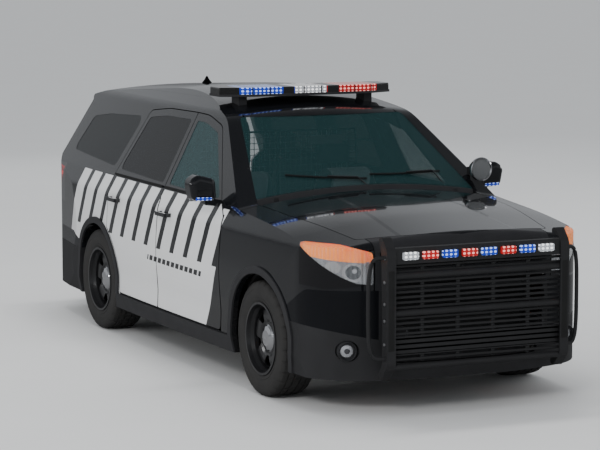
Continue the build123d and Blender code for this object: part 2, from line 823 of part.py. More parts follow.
# Cowl between bonnet and windshield, with the fixed halves of the bonnet's hinges and the wiper arms
cowl_half = 784.0
with BuildPart() as cowl_panel:
    add(
        crowned(
            [
                (hood_rear_x - gap, 1140, 0),
                (hood_rear_x - gap, 1166, 8),
                (windshield_foot_x + 24, 1196, 10),
                (windshield_foot_x + 10, 1238, 4),
                (windshield_foot_x + seat_gap, 1238, 0),
                (windshield_foot_x + seat_gap, 1140, 0),
            ]
        )
    )
    add(slab((900, 1300), (-cowl_half, cowl_half), (1000, 1300)), mode=Mode.INTERSECT)
    for y in (-hood_hinge_y, hood_hinge_y):
        half = boss_height / 2 + clearance
        add(slab((hood_axis_x - 20, hood_rear_x), (y - half, y + half), (1000, 1300)), mode=Mode.SUBTRACT)
with BuildPart() as cowl:
    add(cowl_panel.part)
    for y in (-hood_hinge_y, hood_hinge_y):
        for side in (-1, 1):
            inner = y + side * (boss_height / 2 + clearance)
            ear = [
                (hood_axis_x - 14, hood_axis_z + 10, 8),
                (hood_axis_x + 14, hood_axis_z + 10, 8),
                (hood_axis_x + 14, hood_axis_z - 60, 0),
                (hood_axis_x - 14, hood_axis_z - 60, 0),
            ]
            add(side_prism(ear, min(inner, inner + side * 8), max(inner, inner + side * 8)))
        add(drum(hood_axis_x, hood_axis_z, pin_radius, y - 22, y + 22))

# Front wings
lamp_plan = [
    (headlamp_rear_x, 1250.0, 0.0),
    (headlamp_rear_x, 850.0, 0.0),
    (nose_x - 250.0, 560.0, 0.0),
    (nose_x + 100.0, 560.0, 0.0),
    (nose_x + 100.0, 1250.0, 0.0),
]
with BuildPart() as headlamp_room:
    add(headlamp_hole)
    add(top_prism(lamp_plan, 600, 1300), mode=Mode.INTERSECT)
with BuildPart() as fender:
    add(left_shell.part)
    add(side_prism(fender_rows), mode=Mode.INTERSECT)
    add(hood_room, mode=Mode.SUBTRACT)
    add(headlamp_room.part, mode=Mode.SUBTRACT)
    add(front_bumper_hole, mode=Mode.SUBTRACT)
    add(front_arch, mode=Mode.SUBTRACT)
    add(slab((nose_x - 400, nose_x + 100), (-10, grille_half + 6), (600, 1300)), mode=Mode.SUBTRACT)
    add(door_scoops(front_door_axis), mode=Mode.SUBTRACT)
    add(slab((700, 3000), (-10, 560), (0, 1300)), mode=Mode.SUBTRACT)

# Front bumper cover
fog_y, fog_z, fog_radius = 752.0, 395.0, 62.0
both_arches = pair(front_arch)
with BuildPart() as front_bumper:
    add(envelope_shell.part)
    add(side_prism(front_bumper_rows, -1250), mode=Mode.INTERSECT)
    add(both_arches, mode=Mode.SUBTRACT)
    add(
        front_prism(both_ways([(545, 600, 40), (490, 318, 40)]), nose_x - 300, nose_x + 50),
        mode=Mode.SUBTRACT,
    )
    add(
        front_prism(both_ways([(540, 742, 20), (560, 636, 20)]), nose_x - 300, nose_x + 50),
        mode=Mode.SUBTRACT,
    )
    for side in (-1, 1):
        with BuildSketch(Plane.YZ.offset(nose_x - 400)):
            with Locations((side * fog_y, fog_z)):
                Circle(fog_radius)
        extrude(amount=500, mode=Mode.SUBTRACT)
front_bumper_lower = side_prism(inset(front_bumper_rows, -seat_gap), -1250)

# Grille with its bars
grille_bars = (812.0, 872.0, 932.0)
with BuildPart() as grille:
    add(envelope_shell.part)
    add(
        slab(
            (nose_x - 380, nose_x + 50),
            (seat_gap - grille_half, grille_half - seat_gap),
            (700, 1300),
        ),
        mode=Mode.INTERSECT,
    )
    add(hood_room, mode=Mode.SUBTRACT)
    add(front_bumper_lower, mode=Mode.SUBTRACT)
    with BuildPart(mode=Mode.PRIVATE) as grille_holes:
        for low, high in zip((grille_foot_z,) + grille_bars, grille_bars + (1000.0,)):
            add(
                front_prism(
                    both_ways([(566, high - 12, 8), (566, low + 12, 8)]), nose_x - 400, nose_x + 50
                )
            )
    add(grille_holes.part, mode=Mode.SUBTRACT)

# The radiator's plate behind the bars closes the view into the engine bay
radiator_x = nose_x - 240.0

# Rear bumper cover with two cut-outs for the tail pipes
pipe_y, pipe_z, pipe_radius = 560.0, 262.0, 42.0
with BuildPart() as rear_bumper:
    add(envelope_shell.part)
    add(side_prism(rear_bumper_rows, -1250), mode=Mode.INTERSECT)
    add(pair(rear_arch), mode=Mode.SUBTRACT)
    for side in (-1, 1):
        add(
            slab(
                (tail_x - 50, tail_x + 300),
                (side * pipe_y - pipe_radius - 30, side * pipe_y + pipe_radius + 30),
                (100, pipe_z + pipe_radius + 20),
            ),
            mode=Mode.SUBTRACT,
        )

# Lamps: clear covers over closed housings
lens_thickness = 4.0
lens_core = body_solid(-lens_thickness)
lamps = {}
for name, hole in (("head", headlamp_room.part), ("tail", tail_lamp_hole)):
    table = lamp_rows[name]
    with BuildPart() as room:
        if name == "head":
            add(front_prism(inset(table, seat_gap), headlamp_rear_x + seat_gap, nose_x + 100))
            add(top_prism(inset(lamp_plan, seat_gap), 600, 1300), mode=Mode.INTERSECT)
        else:
            add(front_prism(inset(table, seat_gap), tail_x - 100, tail_lamp_front_x - seat_gap))
    with BuildPart() as lens:
        add(left_half.part)
        add(room.part, mode=Mode.INTERSECT)
        add(lens_core, mode=Mode.SUBTRACT)
    with BuildPart() as housing:
        add(lens_core)
        add(room.part, mode=Mode.INTERSECT)
        add(envelope_core, mode=Mode.SUBTRACT)
    lamps[name] = lens.part, housing.part

# Black mouldings round the wheel arches and along the sills
moulding_outer = left_side(skin_section, moulding_rise)
moulding_inner = left_side(skin_section, seat_gap)
plan_outer = plan_solid(moulding_rise)
plan_inner = plan_solid(seat_gap)
with BuildPart() as moulding_room:
    add(moulding_outer)
    add(plan_outer, mode=Mode.INTERSECT)
with BuildPart() as body_room:
    add(moulding_inner)
    add(plan_inner, mode=Mode.INTERSECT)
cladding_head_z = door_foot_z - gap - 8
with BuildPart() as moulding_blank:
    for axle in (front_axle_x, rear_axle_x):
        add(drum(axle, axle_z, arch_radius + moulding_width, 850, 1250))
    add(
        side_prism(
            [
                (rear_axle_x, sill_height, 0),
                (front_axle_x, sill_height, 0),
                (front_axle_x, cladding_head_z, 0),
                (rear_axle_x, cladding_head_z, 0),
            ],
            850,
        )
    )
    for axle in (front_axle_x, rear_axle_x):
        add(drum(axle, axle_z, arch_radius, 800, 1300), mode=Mode.SUBTRACT)
    add(slab((-3000, 3000), (0, 1300), (-100, sill_height)), mode=Mode.SUBTRACT)
with BuildPart() as moulding:
    add(moulding_room.part)
    add(moulding_blank.part, mode=Mode.INTERSECT)
    add(body_room.part, mode=Mode.SUBTRACT)

# Fixed glass: windshield, quarter windows
with BuildPart() as windshield:
    add(sheet((cowl_x, cowl_z), (header_x, header_z), glass_drop, glass))
    add(
        front_prism(inset(windshield_rows, seat_gap), header_x - 60, windshield_foot_x - seat_gap),
        mode=Mode.INTERSECT,
    )
with BuildPart() as rear_glass:
    add(
        sheet(
            (tail_x + 83.0, belt_z), (roof_rear_x - 205.0, roof_height - 150), glass_drop, glass
        )
    )
    add(
        front_prism(inset(both_ways(gate_window_table), seat_gap), tail_x - 200, tail_x + 400),
        mode=Mode.INTERSECT,
    )
panes = {
    name: window_pane(table)
    for name, table in (
        ("front", front_window_table),
        ("rear", rear_window_table),
        ("quarter", quarter_window_table),
    )
}

# Underbody: floors, firewall, wheelhouses, rails and the nose's carrier
floor_front_x = windshield_foot_x
heel_x = rear_axle_x + 310.0
rail_y, rail_z = (440.0, 530.0), (430.0, 560.0)
beam_x = nose_x - 190.0
rear_arm_half = 50.0  # half width and half height of the rear arms
cabin_inner = straight_side(cabin_section, -seat_gap)
with BuildPart() as cabin_block:
    add(cabin_inner)
    mirror(cabin_inner, about=Plane.XZ, mode=Mode.INTERSECT)
with BuildPart() as underbody_half:
    add(slab((heel_x, floor_front_x), (0, 900), (floor_z - floor_skin, floor_z)))
    add(slab((heel_x - 30, heel_x), (0, 900), (floor_z - floor_skin, cargo_floor_z)))
    add(slab((tail_x + 90, heel_x), (0, 900), (cargo_floor_z - floor_skin, cargo_floor_z)))
    add(slab((floor_front_x - 28, floor_front_x), (0, 900), (floor_z - floor_skin, 1135)))
    add(slab((tail_x + 90, tail_x + 130), (0, 900), (sill_height + 110, cargo_floor_z)))
    add(drum(rear_axle_x, axle_z, arch_radius + wheelhouse_wall, rear_wheelhouse_y - wheelhouse_wall, 900))
    add(cabin_block.part, mode=Mode.INTERSECT)
    add(slab((tail_x, tail_x + 200), (690, 1200), (0, 800)), mode=Mode.SUBTRACT)
    add(drum(front_axle_x, axle_z, arch_radius + wheelhouse_wall, front_wheelhouse_y - wheelhouse_wall, 900))
    add(slab((floor_front_x - 10, beam_x), rail_y, rail_z))
    add(slab((beam_x - 50, beam_x), (0, 520), rail_z))
    add(slab((radiator_x - 30, radiator_x), (0, 560), (430, 985)))
    add(post(front_axle_x, 600, 74, 700, 940))
    for axle, inner in ((front_axle_x, front_wheelhouse_y), (rear_axle_x, rear_wheelhouse_y)):
        add(drum(axle, axle_z, arch_radius, inner, 1250), mode=Mode.SUBTRACT)
        add(
            slab((axle - 480, axle + 480), (inner - 40, 1250), (-100, axle_z - 60)),
            mode=Mode.SUBTRACT,
        )
    add(post(front_axle_x, 600, 52, 400, 925), mode=Mode.SUBTRACT)
    add(
        slab(
            (rear_axle_x - rear_arm_half - clearance, rear_axle_x + rear_arm_half + clearance),
            (rear_wheelhouse_y - 40, rear_wheelhouse_y + 10),
            (-100, axle_z + rear_arm_half + clearance),
        ),
        mode=Mode.SUBTRACT,
    )
with BuildPart() as underbody:
    add(underbody_half.part)
    mirror(underbody_half.part, about=Plane.XZ)

# Front and rear carriers: crossmembers, lower arms, struts and the rear hubs
ball_radius = 10.0
ball_bore = ball_radius + 0.08
knuckle_foot_z, knuckle_head_z = axle_z - 122, axle_z + 132
hub_y = (half_track - 45.0, half_track - 5.0)
spindle_radius = 24.0
spindle_tip_y = half_track + 58.0
hub_bore = spindle_radius + 0.08
disc_y = (half_track + 3.0, half_track + 27.0)
disc_radius = 165.0
caliper_reach = 184.0  # its radius about the axle
caliper_wall = 11.0  # beyond the brake disc's outer face


def hub(axle, foot):
    """A hub carrier's housing with the wheel's spindle and a brake caliper over the disc's edge."""
    with BuildPart() as carrier:
        add(drum(axle, axle_z, 56, foot, hub_y[1]))
        add(drum(axle, axle_z, spindle_radius, hub_y[0], spindle_tip_y))
        caliper = [
            (axle - 187, axle_z - 52, 24),
            (axle - 60, axle_z - 40, 20),
            (axle - 40, axle_z + 40, 20),
            (axle - 187, axle_z + 52, 24),
        ]
        with BuildPart(mode=Mode.PRIVATE) as clamp:
            add(side_prism(caliper, disc_y[0] - 32, disc_y[1] + caliper_wall))
            add(drum(axle, axle_z, caliper_reach, disc_y[0] - 60, disc_y[1] + 60), mode=Mode.INTERSECT)
        add(clamp.part)
        add(
            drum(axle, axle_z, disc_radius + clearance, disc_y[0] - clearance, disc_y[1] + clearance),
            mode=Mode.SUBTRACT,
        )
        add(
            drum(axle, axle_z, 96, disc_y[1] + clearance - 1, disc_y[1] + 60),
            mode=Mode.SUBTRACT,
        )
        add(drum(axle, axle_z, spindle_radius, hub_y[0], spindle_tip_y))
    return carrier.part


with BuildPart() as knuckle:
    add(hub(front_axle_x, hub_y[0] - 40))
    add(
        slab(
            (front_axle_x - 30, front_axle_x + 30),
            (kingpin_y - 22, kingpin_y + 22),
            (knuckle_foot_z, knuckle_head_z),
        )
    )
    add(post(front_axle_x, kingpin_y, ball_bore, knuckle_foot_z, knuckle_foot_z + 32), mode=Mode.SUBTRACT)
    add(post(front_axle_x, kingpin_y, ball_bore, knuckle_head_z - 32, knuckle_head_z), mode=Mode.SUBTRACT)
    add(
        top_prism(
            [
                (front_axle_x - 20, kingpin_y - 18, 0),
                (front_axle_x - 20, kingpin_y + 16, 0),
                (front_axle_x - 120, kingpin_y - 22, 10),
                (front_axle_x - 120, kingpin_y - 46, 10),
            ],
            axle_z - 70,
            axle_z - 50,
        )
    )

arm_z = (knuckle_foot_z - 28, knuckle_foot_z - clearance)
upper_z = (knuckle_head_z + clearance, knuckle_head_z + 30)
with BuildPart() as carrier_half:
    add(slab((front_axle_x - 170, front_axle_x + 150), (0, 420), (arm_z[0], arm_z[0] + 110)))
    add(
        top_prism(
            [
                (front_axle_x - 160, 380, 20),
                (front_axle_x + 130, 380, 20),
                (front_axle_x + 32, kingpin_y + 24, 30),
                (front_axle_x - 32, kingpin_y + 24, 30),
            ],
            *arm_z,
        )
    )
    add(post(front_axle_x, kingpin_y, ball_radius, arm_z[0], knuckle_foot_z + 30))
    add(post(front_axle_x, 600, 34, upper_z[0], 905))
    add(post(front_axle_x, 600, 51, 640, 925 - seat_gap))
    add(
        top_prism(
            [
                (front_axle_x - 40, 560, 10),
                (front_axle_x + 40, 560, 10),
                (front_axle_x + 22, kingpin_y + 20, 16),
                (front_axle_x - 22, kingpin_y + 20, 16),
            ],
            *upper_z,
        )
    )
    add(post(front_axle_x, kingpin_y, ball_radius, knuckle_head_z - 30, upper_z[1]))
    add(
        slab(
            (front_axle_x - 60, front_axle_x + 20),
            (rail_y[0], rail_y[0] + 74),
            (arm_z[1], rail_z[0] - seat_gap),
        )
    )
    add(slab((rear_axle_x - 90, rear_axle_x + 110), (0, 640), (230, 330)))
    add(
        slab(
            (rear_axle_x - rear_arm_half, rear_axle_x + rear_arm_half),
            (620, hub_y[0] + 5),
            (axle_z - 60, axle_z + rear_arm_half),
        )
    )
    add(slab((rear_axle_x - 60, rear_axle_x + 60), (540, 640), (300, cargo_floor_z - floor_skin - seat_gap)))
    add(hub(rear_axle_x, hub_y[0] - 60))
with BuildPart() as subframes:
    add(carrier_half.part)
    mirror(carrier_half.part, about=Plane.XZ)

# Wheels. The left front wheel is made on its axle and the others are its copies.
rim_rows = [
    (-118, 214),
    (-118, 229),
    (-110, 229),
    (-104.7, rim_seat),
    (-80, rim_seat),
    (-62, 204),
    (58, 204),
    (78, rim_seat),
    (104.7, rim_seat),
    (110, 229),
    (118, 229),
    (118, 214),
    (92, 207),
    (70, 196),
    (-70, 196),
    (-94, 208),
]
disc_rows = [
    (28, hub_bore),
    (28, 76),
    (49, 84),
    (49, 98),
    (58, 122),
    (61, 146),
    (56, 170),
    (30, 200),
    (40, 200),
    (66, 174),
    (70, 148),
    (66, 118),
    (58, 100),
    (60, 76),
    (60, hub_bore),
]


def turned(centre_x, centre_y, rows):
    """A wheel part: (along the axle, radius) rows turned about the axle."""
    with BuildPart() as solid:
        with BuildSketch(
            Plane(origin=(centre_x, centre_y, axle_z), x_dir=(0, 1, 0), z_dir=(1, 0, 0))
        ):
            with BuildLine():
                Polyline(*rows, close=True)
            make_face()
        revolve(axis=Axis((centre_x, centre_y, axle_z), (0, 1, 0)))
    return solid.part


tyre_rows = [
    (-104.4, rim_seat + seat_gap),
    (-109.6, rim_seat + 12),
    (-117, rim_seat + 26),
    (-tyre_width / 2 + 1, rim_seat + 48),
    (-tyre_width / 2, rim_seat + 72),
    (-tyre_width / 2 + 1, rim_seat + 96),
    (-tyre_width / 2 + 5, rim_seat + 118),
    (-tyre_width / 2 + 12, tyre_radius - 13),
    (-tyre_width / 2 + 22, tyre_radius - 5),
    (-72, tyre_radius - 1.2),
    (-30, tyre_radius),
]
tyre_rows += [(-y, z) for y, z in reversed(tyre_rows)]
window_count = 5
window_rows = [(-16, 110), (16, 110), (46, 160), (44, 178), (-44, 178), (-46, 160)]
cap_rows = [(58.4, 0), (58.4, 82), (64, 84), (72, 74), (80, 50), (84, 0)]
with BuildPart() as rim:
    add(turned(front_axle_x, half_track, rim_rows))
    add(turned(front_axle_x, half_track, disc_rows))
    add(turned(front_axle_x, half_track, [(3, 70), (3, disc_radius), (27, disc_radius), (27, 70)]))
    add(turned(front_axle_x, half_track, [(3, 58), (3, 74), (34, 74), (34, 58)]))
    for turn in range(window_count):
        angle = 2 * math.pi * turn / window_count
        face = Plane(
            origin=(front_axle_x, half_track + 30, axle_z),
            x_dir=(math.cos(angle), 0, math.sin(angle)),
            z_dir=(0, 1, 0),
        )
        with BuildSketch(face):
            with BuildLine():
                Polyline(*window_rows, close=True)
            make_face()
        extrude(amount=60, mode=Mode.SUBTRACT)
with BuildPart() as hub_cap:
    add(turned(front_axle_x, half_track, cap_rows))
tyre = turned(front_axle_x, half_track, tyre_rows)


def wheel_copy(solid, at_rear, on_right):
    """The left front wheel's piece, moved to another axle or mirrored to the other side."""
    moved = solid.moved(Location((rear_axle_x - front_axle_x if at_rear else 0, 0, 0)))
    return mirror(moved, about=Plane.XZ) if on_right else moved


# Push bumper: two upright plates, a light channel, cross tubes and a skid plate, on arms from the beam
push_y = 590.0
push_plate = 12.0
push_flange = 60.0
tube_half = push_y + push_flange / 2 - 4  # half length of its crossbars
push_face_x = nose_x + push_bumper_reach
push_rows = [
    (push_face_x, 330, 60),
    (push_face_x, 1010, 90),
    (push_face_x - 70, 1092, 20),
    (push_face_x - 118, 1084, 20),
    (push_face_x - 78, 985, 40),
    (push_face_x - 62, 560, 60),
    (push_face_x - 66, 330, 60),
    (push_face_x - 120, 262, 16),
    (push_face_x - 80, 236, 20),
]
light_channel_z = (934.0, 1030.0)
cross_tube_table = [  # height, setback from the face, radius
    (862.0, 30.0, 20.0),
    (640.0, 30.0, 20.0),
    (318.0, 30.0, 19.0),
]
skid_plate_z = (392.0, 500.0)
module_count = 8
module_pitch = 132.0
module_size = (104.0, 46.0)
module_depth = 14.0
module_z = sum(light_channel_z) / 2
module_colours = ("clear", "red", "blue", "red", "blue", "red", "blue", "clear")
with BuildPart() as upright:
    add(side_prism(push_rows, push_y - push_flange / 2, push_y + push_flange / 2))
    with BuildPart(mode=Mode.PRIVATE) as hollow:
        add(
            side_prism(
                [(x - push_plate, z, radius) for x, z, radius in push_rows],
                push_y - push_flange / 2 - 1,
                push_y + push_flange / 2 - push_plate,
            )
        )
        add(
            slab((push_face_x - 300, push_face_x), (push_y - 100, push_y + 100), (290, 1050)),
            mode=Mode.INTERSECT,
        )
    add(hollow.part, mode=Mode.SUBTRACT)
    add(
        slab(
            (beam_x + seat_gap, push_face_x - push_plate - 30),
            (459, 471),
            (rail_z[0] - 30, rail_z[1] - 10),
        )
    )
with BuildPart() as push_bumper:
    add(upright.part)
    mirror(upright.part, about=Plane.XZ)
    add(slab((push_face_x - 60, push_face_x - module_depth), (-tube_half, tube_half), light_channel_z))
    add(
        slab(
            (push_face_x - 61, push_face_x - module_depth - 10),
            (-push_y + 60, push_y - 60),
            (light_channel_z[0] + 10, light_channel_z[1] - 10),
        ),
        mode=Mode.SUBTRACT,
    )
    for height, setback, radius in cross_tube_table:
        add(drum(push_face_x - setback, height, radius, -tube_half, tube_half))
    add(slab((push_face_x - 50, push_face_x - 38), (-tube_half, tube_half), skid_plate_z))


def module_y(index):
    """Where a lamp module sits across the channel, counted from the vehicle's right."""
    return (index - (module_count - 1) / 2) * module_pitch


def modules(colour):
    """The channel's lamp modules of one colour, each seated on the channel's face."""
    with BuildPart() as group:
        for index, own in enumerate(module_colours):
            if own == colour:
                with BuildSketch(Plane.YZ.offset(push_face_x - module_depth + seat_gap)):
                    with Locations((module_y(index), module_z)):
                        RectangleRounded(*module_size, 9)
                extrude(amount=module_depth - seat_gap)
    return group.part


# Light bar on two feet over the front seats, in wedge-ended lens blocks over a black tray
bar_x = front_axle_x - 1440.0
bar_half = 640.0
bar_depth = 290.0
bar_foot_z = roof_height - 30.0
bar_tray = 16.0
bar_height = 62.0
bar_sweep = 90.0
bar_middle = 120.0
bar_end = [
    (bar_x + bar_depth / 2, 0),
    (bar_x + bar_depth / 2 - 6, bar_half - 190),
    (bar_x + bar_depth / 2 - bar_sweep, bar_half),
    (bar_x - bar_depth / 2 + 30, bar_half),
    (bar_x - bar_depth / 2, bar_half - 60),
    (bar_x - bar_depth / 2, 0),
]
bar_plan = [(x, y, 14.0 if y else 0.0) for x, y in bar_end]


def bar_block(low_y, high_y, inset_by, low, high):
    """A slice of the light bar between two distances from the centreline."""
    with BuildPart() as block:
        plan = [(x, y - 40 if y == 0 else y, radius) for x, y, radius in bar_plan]
        add(top_prism(inset(plan, inset_by), low, high))
        add(slab((bar_x - 300, bar_x + 300), (low_y, high_y), (low - 1, high + 1)), mode=Mode.INTERSECT)
        fillet(block.edges().group_by(Axis.Z)[-1].filter_by(GeomType.LINE), 8)
    return block.part


bar_base_z = bar_foot_z + 10
with BuildPart() as light_bar:
    for side in (1, -1):
        half_plan = [(x, y * side, 0) for x, y, radius in bar_plan]
        add(top_prism(half_plan, bar_base_z, bar_base_z + bar_tray))
        foot = [
            (bar_x - 60, side * 440, 0),
            (bar_x + 60, side * 440, 0),
            (bar_x + 60, side * 500, 0),
            (bar_x - 60, side * 500, 0),
        ]
        with BuildPart(mode=Mode.PRIVATE) as leg:
            add(top_prism(foot, roof_height - 160, bar_base_z + 4))
            add(crowned([(x, z + seat_gap, r) for x, z, r in plain_profile_table]), mode=Mode.SUBTRACT)
        add(leg.part)
bar_lens_z = (bar_base_z + bar_tray + seat_gap, bar_base_z + bar_height)
lens_left = bar_block(bar_middle, bar_half + 50, 3.0, *bar_lens_z)
with BuildPart() as bar_lens_middle:
    add(
        slab(
            (bar_x - bar_depth / 2 + 3, bar_x + bar_depth / 2 - 10),
            (seat_gap - bar_middle, bar_middle - seat_gap),
            bar_lens_z,
        )
    )

# Spotlight on the driver's windshield pillar
spot_x, spot_y, spot_z, spot_radius = cowl_x - 92.0, 846.0, 1304.0, 78.0
with BuildPart() as spotlight:
    with BuildSketch(
        Plane(origin=(spot_x, spot_y, spot_z), x_dir=(1, 0, 0), z_dir=(0, -1, 0))
    ):
        with BuildLine():
            Polyline(
                (60, 0), (60, spot_radius), (44, spot_radius), (30, spot_radius - 6),
                (-40, 40), (-58, 24), (-58, 0), close=True,
            )
        make_face()
    revolve(axis=Axis((spot_x, spot_y, spot_z), (1, 0, 0)))
    add(slab((spot_x - 76, spot_x - 44), (spot_y - 34, spot_y - 6), (spot_z - 44, spot_z + 6)))

# Engine, exhaust and radiator
with BuildPart() as engine:
    add(slab((front_axle_x - 300, front_axle_x + 350), (-270, 270), (arm_z[0] + 110 + seat_gap, 905)))
    chamfer(engine.edges().filter_by(Axis.X), 40)
with BuildPart() as exhaust:
    for side in (-1, 1):
        with BuildPart(mode=Mode.PRIVATE) as pipe:
            with BuildSketch(Plane.YZ.offset(tail_x + 12)):
                with Locations((side * pipe_y, pipe_z)):
                    Circle(pipe_radius)
                    Circle(pipe_radius - 3, mode=Mode.SUBTRACT)
            extrude(amount=200)
            with BuildSketch(Plane.YZ.offset(tail_x + 212)):
                with Locations((side * pipe_y, pipe_z + 10)):
                    SlotOverall(300, 150)
            extrude(amount=440)
        add(pipe.part)

# Dashboard with its centre stack and console
dash_half = 778.0
with BuildPart() as dashboard:
    add(
        side_prism(
            [
                (floor_front_x - 29, 700, 0),
                (floor_front_x - 29, 1092, 0),
                (cowl_x - 130, 1118, 60),
                (cowl_x - 330, 1086, 50),
                (cowl_x - 372, 985, 40),
                (cowl_x - 330, 745, 50),
                (cowl_x - 200, 690, 40),
            ],
            -dash_half,
            dash_half,
        )
    )
    add(
        side_prism(
            [
                (cowl_x - 250, floor_z + seat_gap, 0),
                (cowl_x - 250, 900, 0),
                (cowl_x - 385, 940, 30),
                (cowl_x - 440, 720, 60),
                (cowl_x - 520, 610, 40),
                (cowl_x - 1060, 610, 20),
                (cowl_x - 1060, floor_z + seat_gap, 0),
            ],
            -118,
            118,
        )
    )

# Steering column and wheel
column_x, column_y, column_z = cowl_x - 520.0, 378.0, 1020.0
column_tilt = 24.0
wheel_plane = Plane(
    origin=(column_x, column_y, column_z),
    x_dir=(0, 1, 0),
    z_dir=(-math.cos(math.radians(column_tilt)), 0, math.sin(math.radians(column_tilt))),
)
column_bore = 12.08


def on_column(rows):
    """(along the column, radius, corner radius) rows turned about the steering column."""
    axis = Axis(wheel_plane.origin, wheel_plane.z_dir)
    with BuildPart() as solid:
        revolve(
            outline(Plane(origin=wheel_plane.origin, x_dir=wheel_plane.z_dir, z_dir=(0, 1, 0)), rows),
            axis=axis,
        )
    return solid.part


with BuildPart() as column:
    add(on_column([(-230, 0, 0), (-230, 42, 10), (-60, 34, 10), (-60, 0, 0)]))
    add(on_column([(-70, 0, 0), (-70, 12, 0), (-26, 12, 0), (-26, 0, 0)]))
with BuildPart() as steering_wheel:
    ring_plane = Plane(
        origin=wheel_plane.origin + Vector(0, 186, 0),
        x_dir=(0, 1, 0),
        z_dir=wheel_plane.x_dir.cross(wheel_plane.z_dir),
    )
    with BuildSketch(ring_plane):
        RegularPolygon(16, 8)
    revolve(axis=Axis(wheel_plane.origin, wheel_plane.z_dir))
    add(on_column([(-54, 0, 0), (-54, 40, 4), (-12, 62, 6), (-12, 0, 0)]))
    for way in (wheel_plane.x_dir, wheel_plane.x_dir * -1, wheel_plane.y_dir):
        spoke_plane = Plane(origin=wheel_plane.origin, x_dir=way, z_dir=wheel_plane.z_dir)
        with BuildSketch(spoke_plane.offset(-34)):
            with Locations((105, 0)):
                Rectangle(160, 34)
        extrude(amount=26)
    add(
        on_column([(-55, 0, 0), (-55, column_bore, 0), (-25.5, column_bore, 0), (-25.5, 0, 0)]),
        mode=Mode.SUBTRACT,
    )

# Seats: cushions and backs as closed forms on low frames. Columns of the table: x, half-width, centre y.
seat_foot_z = floor_z + seat_gap


def seat(x, y, half):
    """A seat with its frame, cushion, reclined back and head restraint; x is the cushion's front."""
    with BuildPart() as solid:
        add(
            side_prism(
                [(x - 40, seat_foot_z, 0), (x - 40, 610, 0), (x - 470, 610, 0), (x - 470, seat_foot_z, 0)],
                y - half + 40,
                y + half - 40,
            )
        )
        add(
            side_prism(
                [
                    (x, 560, 50),
                    (x - 10, 690, 60),
                    (x - 380, 668, 30),
                    (x - 530, 1245, 40),
                    (x - 640, 1235, 40),
                    (x - 520, 600, 60),
                ],
                y - half,
                y + half,
            )
        )
        add(
            side_prism(
                [(x - 545, 1262, 25), (x - 570, 1425, 28), (x - 660, 1420, 28), (x - 640, 1262, 25)],
                y - 135,
                y + 135,
            )
        )
        for side in (-1, 1):
            add(post(x - 592, y + side * 60, 7, 1200, 1300))
    return solid.part


front_seat_x, front_seat_y = b_pillar_x + 470.0, 390.0
rear_seat_x = b_pillar_x - 330.0
with BuildPart() as front_seats:
    for side in (-1, 1):
        add(seat(front_seat_x, side * front_seat_y, 258))
with BuildPart() as rear_seat:
    add(seat(rear_seat_x, 345, 330))
    add(seat(rear_seat_x, -345, 330))

# Laptop on its post between the front seats
laptop_x, laptop_y, laptop_z = cowl_x - 560.0, -60.0, 905.0
with BuildPart() as laptop:
    add(post(laptop_x, laptop_y, 20, 610 + seat_gap, laptop_z))
    add(slab((laptop_x - 130, laptop_x + 110), (laptop_y - 160, laptop_y + 160), (laptop_z, laptop_z + 26)))
    add(
        side_prism(
            [
                (laptop_x + 96, laptop_z + 24, 0),
                (laptop_x + 150, laptop_z + 238, 6),
                (laptop_x + 164, laptop_z + 234, 6),
                (laptop_x + 112, laptop_z + 18, 0),
            ],
            laptop_y - 160,
            laptop_y + 160,
        )
    )


def place(solid, name):
    """Label a finished piece and write it."""
    solid.label = name
    export_step(solid, f"parts/{name}.step")


with BuildPart() as fixed_glass:
    add(windshield.part)
    add(panes["quarter"])
    mirror(panes["quarter"], about=Plane.XZ)
with BuildPart() as chassis_dash:
    add(dashboard.part)
    add(column.part)
with BuildPart() as blue_lamps:
    add(modules("blue"))
    mirror(lens_left, about=Plane.XZ)
with BuildPart() as red_lamps:
    add(modules("red"))
    add(lens_left)
with BuildPart() as clear_lamps:
    add(modules("clear"))
    add(bar_lens_middle.part)

for name, solid in (
    ("underbody", underbody.part),
    ("body_side_left", body_side.part),
    ("body_side_right", twin(body_side.part)),
    ("roof_panel", roof.part),
    ("cowl", cowl.part),
    ("front_wings", pair(fender.part)),
    ("front_bumper", front_bumper.part),
    ("grille", grille.part),
    ("headlamps", pair(lamps["head"][1])),
    ("headlamp_lenses", pair(lamps["head"][0])),
    ("tail_lamps", pair(lamps["tail"][1])),
    ("tail_lamp_lenses", pair(lamps["tail"][0])),
    ("rear_bumper", rear_bumper.part),
    ("arch_mouldings", pair(moulding.part)),
    ("fixed_glass", fixed_glass.part),
    ("push_bumper", push_bumper.part),
    ("warning_lamps_red", red_lamps.part),
    ("warning_lamps_blue", blue_lamps.part),
    ("warning_lamps_clear", clear_lamps.part),
    ("light_bar", light_bar.part),
    ("spotlight", spotlight.part),
    ("engine", engine.part),
    ("subframes", subframes.part),
    ("exhaust", exhaust.part),
    ("dashboard", chassis_dash.part),
    ("laptop", laptop.part),
    ("front_seats", front_seats.part),
    ("rear_seat", rear_seat.part),
    ("steering_wheel", steering_wheel.part),
    ("hood", hood.part),
    ("liftgate", liftgate.part),
    ("liftgate_glass", rear_glass.part),
    ("knuckle_left", knuckle.part),
    ("knuckle_right", twin(knuckle.part)),
    ("door_front_left", doors["front"]),
    ("door_front_right", twin(doors["front"])),
    ("door_rear_left", doors["rear"]),
    ("door_rear_right", twin(doors["rear"])),
    ("door_front_left_glass", panes["front"]),
    ("door_front_right_glass", twin(panes["front"])),
    ("door_rear_left_glass", panes["rear"]),
    ("door_rear_right_glass", twin(panes["rear"])),
):
    place(solid, name)
